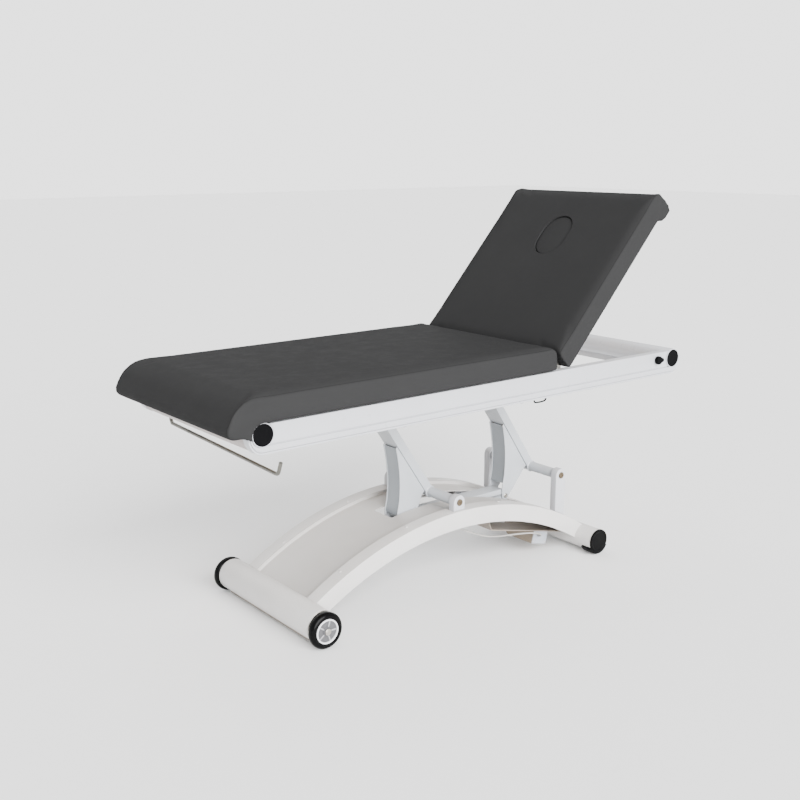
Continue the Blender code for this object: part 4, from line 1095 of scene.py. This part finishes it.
# ------------------------------------------------------------------ bed frame
@dataclass
class BedFrame:
    """Side rails that curl round the end tubes, caps, saddles, board and small fittings."""

    shop: Workshop
    notch: float = 0.0348
    nose: float = 0.045
    groove: float = 0.680
    hook_wire: float = 0.0026

    def build(self) -> None:
        """Make the whole bed frame."""
        self.rails()
        self.end_tubes()
        frame = self.shop.frame
        frame.dress(WHITE, "white_paint", "front_saddle", "rear_saddle", "roll_holder_socket")
        frame.dress(PLY, "plywood", "seat_board")
        frame.dress(ZINC, "zinc", "hinge_bar")
        self.fittings()

    def side_view(self) -> Outline:
        """Outline of a side rail."""
        frame = self.shop.frame
        top, low = frame.high("near_side_rail").z, frame.low("near_side_rail").z
        head, foot = frame.middle("rail_cap_head_near"), frame.middle("rail_cap_foot_near")
        z = head.z
        open_at = math.degrees(math.asin((top - z) / self.notch))
        drop = z - low
        return (arc(head.x, z, self.notch, 180 - open_at, 368, 48)
                + arc(head.x, z, self.nose, 4, -90, 24, drop)
                + arc(foot.x, z, self.nose, 270, 176, 24, drop)
                + arc(foot.x, z, self.notch, 172, 360 + open_at, 48))

    def rails(self) -> None:
        """Two side rails; a rolled bead runs along the foot of each web."""
        frame = self.shop.frame
        outer, inner = frame.high("far_side_rail").y, frame.low("far_side_rail").y
        low = frame.low("near_side_rail").z
        for side, end in SIDES:
            shape = pan(self.side_view(), side * (outer - 0.0045), side * inner, 0.0025, 0.0012)
            self.shop.piece(f"{end}_rail", shape, WHITE, "white_paint", "bed_frame",
                            (f"{end}_side_rail",), 30.0)
            self.shop.piece(f"{end}_rail_lip", self.lip(side, outer, low), WHITE, "white_paint",
                            "bed_frame", (), 40.0)
            self.shop.piece(f"{end}_rail_web", self.web(side, outer), WHITE, "white_paint",
                            "bed_frame", (), 40.0)

    def lip(self, side: int, outer: float, low: float) -> bmesh.types.BMesh:
        """The rail's lower beads, a wide one over a slim one, which follow the curl at both ends."""
        frame = self.shop.frame
        head, foot = frame.middle("rail_cap_head_near"), frame.middle("rail_cap_foot_near")
        z = head.z
        drop, slim = z - low, 0.0075

        def curl(at: Vector, cut: float, start: float, stop: float) -> Outline:
            """Curve of a rail's end, drawn in by cut."""
            return arc(at.x, z, self.nose - 0.8 * cut, start, stop, 30, drop - cut)

        wide = (curl(head, slim, 3, -90) + curl(foot, slim, 270, 177)
                + arc(foot.x, z, self.notch + 0.0008, 177, 252, 24)
                + [(foot.x + 0.012, low + 0.0245), (head.x - 0.012, low + 0.0245)]
                + arc(head.x, z, self.notch + 0.0008, 288, 363, 24))
        inner = curl(head, slim - 0.0012, 3, -90) + curl(foot, slim - 0.0012, 270, 177)
        narrow = curl(head, 0.0, 3, -90) + curl(foot, 0.0, 270, 177) + inner[::-1]
        return joined(prism(wide, side * (outer - 0.006), side * outer, 0.0018),
                      prism(narrow, side * (outer - 0.006), side * (outer - 0.0012), 0.0014))

    def web(self, side: int, outer: float) -> bmesh.types.BMesh:
        """The rail's flat web between its two end tubes, above the groove."""
        frame = self.shop.frame
        head, foot = frame.middle("rail_cap_head_near"), frame.middle("rail_cap_foot_near")
        z, top = head.z, frame.high("near_side_rail").z
        reach = self.notch + 0.0008
        open_at = math.degrees(math.asin((top - z) / reach))
        low_at = math.degrees(math.asin((z - self.groove + 0.0012) / reach))
        outline = (arc(head.x, z, reach, 180 - open_at, 180 + low_at, 20)
                   + arc(foot.x, z, reach, -low_at, open_at, 20))
        return prism(outline, side * (outer - 0.006), side * outer, 0.0016)

    def end_tubes(self) -> None:
        """End tubes with their lips and black caps."""
        frame = self.shop.frame
        for name, start, stop in (("foot", 188, 282), ("head", 352, 258)):
            cap_box = frame.middle(f"rail_cap_{name}_near")
            x, z = cap_box.x, cap_box.z
            radius = frame.high("foot_end_tube").z - z
            half = frame.high(f"{name}_end_tube").y
            inner = frame.low("far_side_rail").y - GAP
            shell = tube(radius, radius - 0.003, (x, -half, z), (x, half, z), 72)
            lip = (arc(x, z, 0.0435, start, stop, 24, 0.0550)
                   + arc(x, z, radius - 0.0015, stop, start, 24))
            self.shop.piece(f"{name}_bed_tube", shell, WHITE, "white_paint", "bed_frame",
                            (f"{name}_end_tube",))
            self.shop.piece(f"{name}_tube_lip", prism(lip, -inner, inner, 0.001),
                            SHADED if name == "foot" else WHITE,
                            "shaded_paint" if name == "foot" else "white_paint", "bed_frame")
            for side, end in SIDES:
                profile = rounded([(0.0, half - 0.014), (radius - 0.0035, half - 0.014),
                                   (radius - 0.0035, half + GAP), (radius - 0.0030, half + GAP, 0.0002),
                                   (radius - 0.0030, half + 0.0022, 0.0012),
                                   (radius - 0.0065, half + 0.0026, 0.0008),
                                   (radius - 0.0080, half + 0.0014, 0.0006), (0.0, half + 0.0018)], 4)
                self.shop.piece(f"{name}_{end}_cap", turned(profile, (x, 0.0, z), (0, side, 0), 72),
                                BLACK, "black_plastic", "bed_frame", (f"rail_cap_{name}_{end}",))

    def fittings(self) -> None:
        """Handset hook, and the small nuts under the rails."""
        frame = self.shop.frame
        low, high = frame.low("handset_hook"), frame.high("handset_hook")
        y, z, top = (low.y + high.y) / 2, low.z + self.hook_wire, high.z
        left, right = low.x + self.hook_wire, high.x - self.hook_wire
        points = [(left, y, top), (left, y, z + 0.0055), (left + 0.004, y, z + 0.0015),
                  (left + 0.012, y, z), (right - 0.016, y, z), (right - 0.006, y, z + 0.0015),
                  (right - 0.001, y, z + 0.0055), (right, y, top)]
        self.shop.wire("hook_wire", smooth_route(points, 0.002), self.hook_wire, BLACK, "black_plastic",
                       "bed_frame", ("handset_hook",))
        under = frame.low("near_side_rail").z
        for side, end in SIDES:
            for index, x in enumerate((-0.341, 0.147)):
                nut = turned([(0.0, 0.0), (0.0085, 0.0), (0.0085, 0.0025), (0.0055, 0.0045),
                              (0.0, 0.0050)],
                             (x, side * 0.320, under + 0.0004), (0, 0, -1), 24)
                self.shop.piece(f"{end}_rail_nut_{index}", nut, WHITE, "white_paint", "bed_frame")


# ------------------------------------------------------------------ small moving fittings
@dataclass
class Fittings:
    """Paper-roll rod, clamp knob and gas spring."""

    shop: Workshop

    def build(self) -> None:
        """Make the small moving pieces."""
        self.roll_rod()
        self.knob()
        frame = self.shop.frame
        frame.dress(SPRING, "spring_lacquer", "gas_spring_cylinder")
        frame.dress(BRIGHT_ROD, "bright_rod", "gas_spring_rod")

    def roll_rod(self) -> None:
        """Bent rod that carries the paper roll."""
        pivot = self.shop.frame.pivot("roll_holder_swing")
        x, y = pivot.x, pivot.y
        points = [(x, y, 0.6490), (x, y, 0.6300), (x, y - 0.001, 0.6120), (x, y - 0.008, 0.6030),
                  (x, y - 0.020, 0.6000), (x, 0.150, 0.5950), (x, -0.100, 0.5870), (x, -0.270, 0.5813),
                  (x, -0.300, 0.5806), (x, -0.3135, 0.5835), (x, -0.3205, 0.5950), (x, -0.330, 0.6180)]
        self.shop.wire("paper_roll_rod", smooth_route(points, 0.004), 0.0055, BRIGHT_ROD, "bright_rod",
                       "roll_holder", ("roll_holder_rod",))

    def knob(self) -> None:
        """Two-lobed clamp knob with its washer."""
        frame = self.shop.frame
        pivot = frame.pivot("clamp_knob_turn")
        low, high = frame.low("clamp_knob"), frame.high("clamp_knob")
        outline = (arc(pivot.x, pivot.z, 0.0150, 38, 322, 40)
                   + arc(pivot.x + 0.016, pivot.z, 0.0080, -62, 62, 18))
        shape = prism(outline, high.y, low.y, 0.0030, 4)
        self.shop.piece("rail_knob", shape, BLACK, "black_plastic", "clamp_knob", ("clamp_knob",), 50.0)


# ------------------------------------------------------------------ upholstery
@dataclass
class Upholstery:
    """Seat and backrest cushions and the plug of the face opening.

    Args:
        shop: makes the pieces.
        voxel: size of the skin's even squares.
        edge: rounding of a pad's upper edges.
        cap: furthest that a point of the skin may swell.
        slim: how much smaller a pad starts along each axis.
        draw_in: how far the seat's head end draws in as its cover swells.
        wrap: radius of the seat's cheeks round the frame's foot caps.
        seam_in: how far a seam lies from a pad's side.
        tilt: angle of the backrest.
        plug_long: half the plug's length.
        plug_wide: half the plug's width.
        plug_at: middle of the plug along the backrest.
    """

    shop: Workshop
    voxel: float = 0.006
    edge: float = 0.014
    cap: float = 0.006
    slim: tuple[float, float, float] = (0.0005, 0.0002, 0.0012)
    draw_in: float = 0.0080
    wrap: float = 0.0338
    seam_in: float = 0.011
    tilt: float = math.radians(47.8)
    plug_long: float = 0.087
    plug_wide: float = 0.065
    plug_at: float = 0.463

    def build(self) -> None:
        """Make both cushions and the plug."""
        self.frame = self.shop.frame
        self.hinge = self.frame.pivot("backrest_hinge")
        self.turn = (Matrix.Translation((self.hinge.x, 0.0, self.hinge.z))
                     @ Matrix.Rotation(-self.tilt, 4, 'Y'))
        self.seat()
        self.backrest()
        self.plug()
        self.frame.dress(PLY, "plywood", "backrest_board")

    def seat(self) -> None:
        """Long seat cushion, rolled over at its foot end."""
        low, high = self.frame.low("seat_cushion"), self.frame.high("seat_cushion")
        top, under = high.z, self.frame.high("seat_board").z + GAP
        roll = 0.090
        tube_at = self.frame.middle("rail_cap_foot_near")
        over = self.frame.high("foot_end_tube").z - tube_at.z + 2 * GAP
        rise = math.degrees(math.asin((under - tube_at.z) / over))
        end = high.x + self.draw_in
        outline = (arc(end - 0.018, under + 0.018, 0.018, -90, 0, 10)
                   + arc(end - 0.026, top - 0.026, 0.026, 0, 90, 12)
                   + arc(low.x + roll, top - roll, roll, 90, 180, 24)
                   + arc(low.x + 0.018, 0.725, 0.018, 190, 270, 8)
                   + [(-0.897, 0.707), (-0.890, 0.716), (-0.888, under)]
                   + arc(tube_at.x, tube_at.z, over, 180 - rise, rise, 12))
        shape = prism(outline, low.y, high.y)
        clear = self.shop.frame.high("rail_cap_foot_far").y + 0.0004
        wrap = (arc(tube_at.x, tube_at.z, self.wrap, 60, 200, 24)
                + [(-0.880, 0.6925), (-0.895, 0.7000), (-0.905, 0.7120), (-0.905, 0.7700),
                   (-0.820, 0.7700)])
        cheeks = [prism(wrap, side * clear, side * (high.y - 0.0005)) for side, _ in SIDES]
        shape = joined(shape, *cheeks)
        pad = self.stuffed("seat_pad", shape, "bed_frame", ("seat_cushion",), Matrix.Identity(4),
                           floor=under, corner=0.016)
        line = (arc(low.x + 0.018, 0.725, 0.018, 215, 190, 3)
                + arc(low.x + roll, top - roll, roll, 178, 95, 12)
                + [(x, top) for x in (low.x + roll, -0.6, -0.3, 0.0, high.x - 0.030)])
        for side, name in SIDES:
            self.seam(f"seat_{name}_seam", pad, line, side * (high.y - self.seam_in),
                      Matrix.Identity(4), "bed_frame")

    def backrest(self) -> None:
        """Backrest cushion with its rolled head end and face opening."""
        under, face, end = -0.030, 0.040, 0.704
        outline = ([(-0.0225, under), (-0.0215, under + 0.012)]
                   + arc(-0.0125 + 0.004, face - 0.012, 0.010, 170, 90, 6, 0.012)
                   + arc(end - 0.045, face - 0.045, 0.045, 90, 0, 16)
                   + arc(end - 0.022, -0.034, 0.022, 0, -90, 12)
                   + [(0.640, -0.056), (0.622, -0.048), (0.616, under)])
        half = self.frame.high("backrest_cushion").y
        shape = prism(outline, -half, half)
        bmesh.ops.transform(shape, matrix=self.turn, verts=shape.verts)
        pad = self.stuffed("backrest_pad", shape, "backrest", ("backrest_cushion",), self.turn,
                           floor=under, corner=0.028)
        hole = self.oval(0.0008, under - 0.03, face + 0.03)
        bmesh.ops.transform(hole, matrix=self.turn, verts=hole.verts)
        cut_away(pad, hole)
        for side in (-1, 1):
            slot = block((-0.04, min(side * 0.2945, side * 0.3065), -0.05),
                         (0.014, max(side * 0.2945, side * 0.3065), 0.014))
            bmesh.ops.transform(slot, matrix=self.turn, verts=slot.verts)
            cut_away(pad, slot)
        knuckle = prism(arc(0, 0, 0.0115, 230, -50, 24) + [(0.0085, -0.045), (-0.0085, -0.045)],
                        -0.2965, 0.2965)
        bmesh.ops.transform(knuckle, matrix=self.turn, verts=knuckle.verts)
        cut_away(pad, knuckle)
        pad.data.shade_smooth()
        pad.data.set_sharp_from_angle(angle=math.radians(50.0))
        line = ([(a, face) for a in (0.0, 0.2, 0.4, end - 0.050)]
                + arc(end - 0.045, face - 0.045, 0.045, 85, 5, 8) + [(end, -0.010), (end, -0.030)])
        for side, name in SIDES:
            self.seam(f"backrest_{name}_seam", pad, line, side * (half - self.seam_in), self.turn,
                      "backrest")

    def oval(self, grow: float, low: float, high: float) -> bmesh.types.BMesh:
        """A straight-sided oval block in the backrest's own frame.

        Args:
            grow: how much wider than the plug it is, all round.
            low: height of its lower face over the hinge line.
            high: height of its upper face.

        Returns:
            The block.
        """
        bm = bmesh.new()
        radius = self.plug_wide + grow
        bmesh.ops.create_cone(bm, cap_ends=True, segments=96, radius1=radius, radius2=radius,
                              depth=high - low)
        for vert in bm.verts:
            vert.co.x += math.copysign(self.plug_long - self.plug_wide, vert.co.x)
        bmesh.ops.translate(bm, verts=bm.verts, vec=(self.plug_at, 0.0, (low + high) / 2))
        return bm

    def plug(self) -> None:
        """Padded plug that fills the face opening, with a crowned top."""
        face, deep = 0.040, 0.045
        bm = self.oval(-0.0010, face - deep, face)
        rims = [e for e in bm.edges if all(abs(v.co.z - face) < 1e-6 for v in e.verts)]
        bevel(bm, rims, 0.0040, 5)
        cap = max(bm.faces, key=lambda f: (f.calc_center_median().z, f.calc_area()))
        for rise in (0.0007, 0.0006, 0.0005, 0.0003, 0.0002, 0.0001):
            bmesh.ops.inset_region(bm, faces=[cap], thickness=0.0075)
            bmesh.ops.translate(bm, verts=cap.verts, vec=(0.0, 0.0, rise))
        bmesh.ops.transform(bm, matrix=self.turn, verts=bm.verts)
        bmesh.ops.recalc_face_normals(bm, faces=bm.faces)
        piece = self.shop.piece("face_hole_plug", bm, COVER, "charcoal_cover", "face_plug",
                                ("face_plug",))

    def stuffed(self, name: str, shape: bmesh.types.BMesh, body: str, stands_for: Sequence[str],
                turn: Matrix, floor: float, corner: float) -> bpy.types.Object:
        """Make a stuffed pad: soft edges, an even skin, then a light swell by cloth simulation.

        Args:
            name: the pad's name.
            shape: its plain form, which is used up.
            body: the body it rides on.
            stands_for: CAD nodes it replaces.
            turn: the pad's own frame.
            floor: height of its flat underside in that frame.
            corner: radius of its two head-end corners, seen from above.

        Returns:
            The pad.
        """
        bmesh.ops.transform(shape, matrix=turn.inverted(), verts=shape.verts)
        wide = max(v.co.y for v in shape.verts) - 1e-5
        rims = [e for e in shape.edges
                if min(abs(v.co.y) for v in e.verts) > wide and e.verts[0].co.y * e.verts[1].co.y > 0.0
                and max(v.co.z for v in e.verts) > floor + 0.004]
        bevel(shape, rims, self.edge, 6)
        start, half = max(v.co.x for v in shape.verts) - corner, max(v.co.y for v in shape.verts)
        for vert in shape.verts:
            past = max(0.0, vert.co.x - start)
            vert.co.y *= 1.0 - (corner - math.sqrt(max(0.0, corner ** 2 - past ** 2))) / half
        bmesh.ops.recalc_face_normals(shape, faces=shape.faces)
        pad = self.shop.piece(name, shape, COVER, "charcoal_cover", body, stands_for, 180.0)
        self.swell(pad, floor)
        pad.data.transform(turn)
        return pad

    def swell(self, pad: bpy.types.Object, floor: float) -> None:
        """Blow a pad up a little inside its cover, as foam does, and keep its underside flat.

        Args:
            pad: the pad, in its own frame.
            floor: height of its flat underside.
        """
        lows = [min(v.co[k] for v in pad.data.vertices) for k in range(3)]
        highs = [max(v.co[k] for v in pad.data.vertices) for k in range(3)]
        centre = Vector(((lows[0] + highs[0]) / 2, 0.0, floor))
        shrink = [1.0 - 2.0 * slim / (high - low)
                  for slim, low, high in zip(self.slim, lows, highs)]
        pad.data.transform(Matrix.Translation(centre) @ Matrix.Diagonal((*shrink, 1.0))
                           @ Matrix.Translation(-centre))
        skin = pad.modifiers.new("skin", 'REMESH')
        skin.mode = 'VOXEL'
        skin.voxel_size = self.voxel
        apply_modifiers(pad)
        bm = bmesh.new()
        bm.from_mesh(pad.data)
        for _ in range(2):
            bmesh.ops.smooth_vert(bm, verts=bm.verts, factor=0.5, use_axis_x=True, use_axis_y=True,
                                  use_axis_z=True)
        bm.to_mesh(pad.data)
        bm.free()
        start = [v.co.copy() for v in pad.data.vertices]
        rest = pad.vertex_groups.new(name="rest")
        for index, point in enumerate(start):
            if point.z < floor + 0.006:
                rest.add([index], 1.0, 'REPLACE')
        cloth = pad.modifiers.new("stuffing", 'CLOTH')
        cloth.settings.quality = 4
        cloth.settings.mass = 0.3
        cloth.settings.tension_stiffness = 25.0
        cloth.settings.compression_stiffness = 25.0
        cloth.settings.shear_stiffness = 8.0
        cloth.settings.bending_stiffness = 1.5
        cloth.settings.use_pressure = True
        cloth.settings.uniform_pressure_force = 4.0
        cloth.settings.effector_weights.gravity = 0.0
        cloth.settings.vertex_group_mass = "rest"
        for frame in range(1, 21):
            bpy.context.scene.frame_set(frame)
        apply_modifiers(pad)
        for vertex, point in zip(pad.data.vertices, start):
            move = vertex.co - point
            if move.length > 1e-9:
                vertex.co = point + move * (self.cap * math.tanh(move.length / self.cap) / move.length)
        bpy.context.scene.frame_set(1)
        pad.vertex_groups.clear()
        bm = bmesh.new()
        bm.from_mesh(pad.data)
        for _ in range(5):
            bmesh.ops.smooth_vert(bm, verts=bm.verts, factor=0.5, use_axis_x=True, use_axis_y=True,
                                  use_axis_z=True)
        bm.to_mesh(pad.data)
        bm.free()
        pad.data.shade_smooth()
        LOG.info("swelled %s, %d faces", pad.name, len(pad.data.polygons))

    def seam(self, name: str, pad: bpy.types.Object, outline: Outline, y: float, turn: Matrix,
             body: str) -> None:
        """Lay a sewn seam on a pad's skin.

        Args:
            name: the seam's name.
            pad: the pad it lies on.
            outline: X-Z points near the skin, in the pad's frame.
            y: its place across the pad.
            turn: the pad's own frame.
            body: the body it rides on.
        """
        points = []
        for point in smooth_route([(x, y, z) for x, z in outline], 0.008):
            found, place, normal, _ = pad.closest_point_on_mesh(turn @ point)
            if found:
                points.append(place - normal * 0.00015)
        self.shop.wire(name, points, 0.0005, SEAM, "seam_thread", body)


# ------------------------------------------------------------------ stage
@dataclass
class Stage:
    """Camera, pale floor and soft light."""

    eye: tuple[float, float, float] = (-2.2691, -2.7158, 1.4482)
    heading: float = math.radians(-38.598)
    pitch: float = math.radians(13.186)
    lens: float = 48.08
    surround: float = 1.15
    behind: float = 2.6

    def camera(self) -> None:
        """Stand the camera where it sees the couch from its foot end and near side."""
        data = bpy.data.cameras.new("camera")
        data.lens = self.lens
        data.sensor_width = 36.0
        data.clip_end = 60.0
        camera = bpy.data.objects.new("camera", data)
        camera.location = self.eye
        camera.rotation_euler = (math.pi / 2 - self.pitch, 0.0, self.heading)
        bpy.context.scene.collection.objects.link(camera)
        bpy.context.scene.camera = camera

    def light(self) -> None:
        """White surroundings with two broad soft lights."""
        world = bpy.data.worlds.new("studio")
        world.use_nodes = True
        world.node_tree.nodes["Background"].inputs["Color"].default_value = (1.0, 1.0, 1.0, 1.0)
        self.backdrop(world.node_tree)
        bpy.context.scene.world = world
        for name, at, strength in (("key", (-0.5, -5.0, 2.6), 11.0), ("rim", (1.0, 4.0, 5.0), 0.8)):
            data = bpy.data.lights.new(name, 'SUN')
            data.angle = math.radians(55.0)
            data.energy = strength
            lamp = bpy.data.objects.new(name, data)
            lamp.location = at
            aim = Vector((0.0, 0.0, 0.6)) - Vector(at)
            lamp.rotation_euler = aim.to_track_quat('-Z', 'Y').to_euler()
            bpy.context.scene.collection.objects.link(lamp)

    def backdrop(self, tree: bpy.types.NodeTree) -> None:
        """Make the surroundings as bright behind the couch as the floor is.

        Args:
            tree: the world's nodes.
        """
        path = tree.nodes.new("ShaderNodeLightPath")
        seen = tree.nodes.new("ShaderNodeMapRange")
        seen.inputs["To Min"].default_value = self.surround
        seen.inputs["To Max"].default_value = self.behind
        tree.links.new(path.outputs["Is Camera Ray"], seen.inputs["Value"])
        tree.links.new(seen.outputs["Result"], tree.nodes["Background"].inputs["Strength"])

    def floor(self) -> None:
        """Wide pale floor."""
        bm = bmesh.new()
        bmesh.ops.create_grid(bm, x_segments=1, y_segments=1, size=30.0)
        mesh = bpy.data.meshes.new("floor")
        bm.to_mesh(mesh)
        bm.free()
        paper = Finish("", (0.90, 0.90, 0.90), (0.89, 0.89, 0.89), 0.85)
        mesh.materials.append(paper.material("floor_paper"))
        floor = bpy.data.objects.new("floor", mesh)
        floor.location = (0.0, 0.0, -0.0005)
        bpy.context.scene.collection.objects.link(floor)


def main() -> None:
    """Build the stage and every sub-assembly in order."""
    logging.basicConfig(level=logging.INFO, format="%(name)s: %(message)s")
    for obj in list(bpy.data.objects):
        bpy.data.objects.remove(obj, do_unlink=True)
    frame = Frame()
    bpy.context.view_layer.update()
    shop = Workshop(frame)
    stage = Stage()
    stage.camera()
    controls = Controls(shop)
    controls.lead()
    controls.build()
    ArchedBase(shop).build()
    Lift(shop).build()
    BedFrame(shop).build()
    Fittings(shop).build()
    Upholstery(shop).build()
    stage.light()
    stage.floor()
    LOG.info("%d pieces", len(shop.made))


if __name__ == "__main__":
    main()
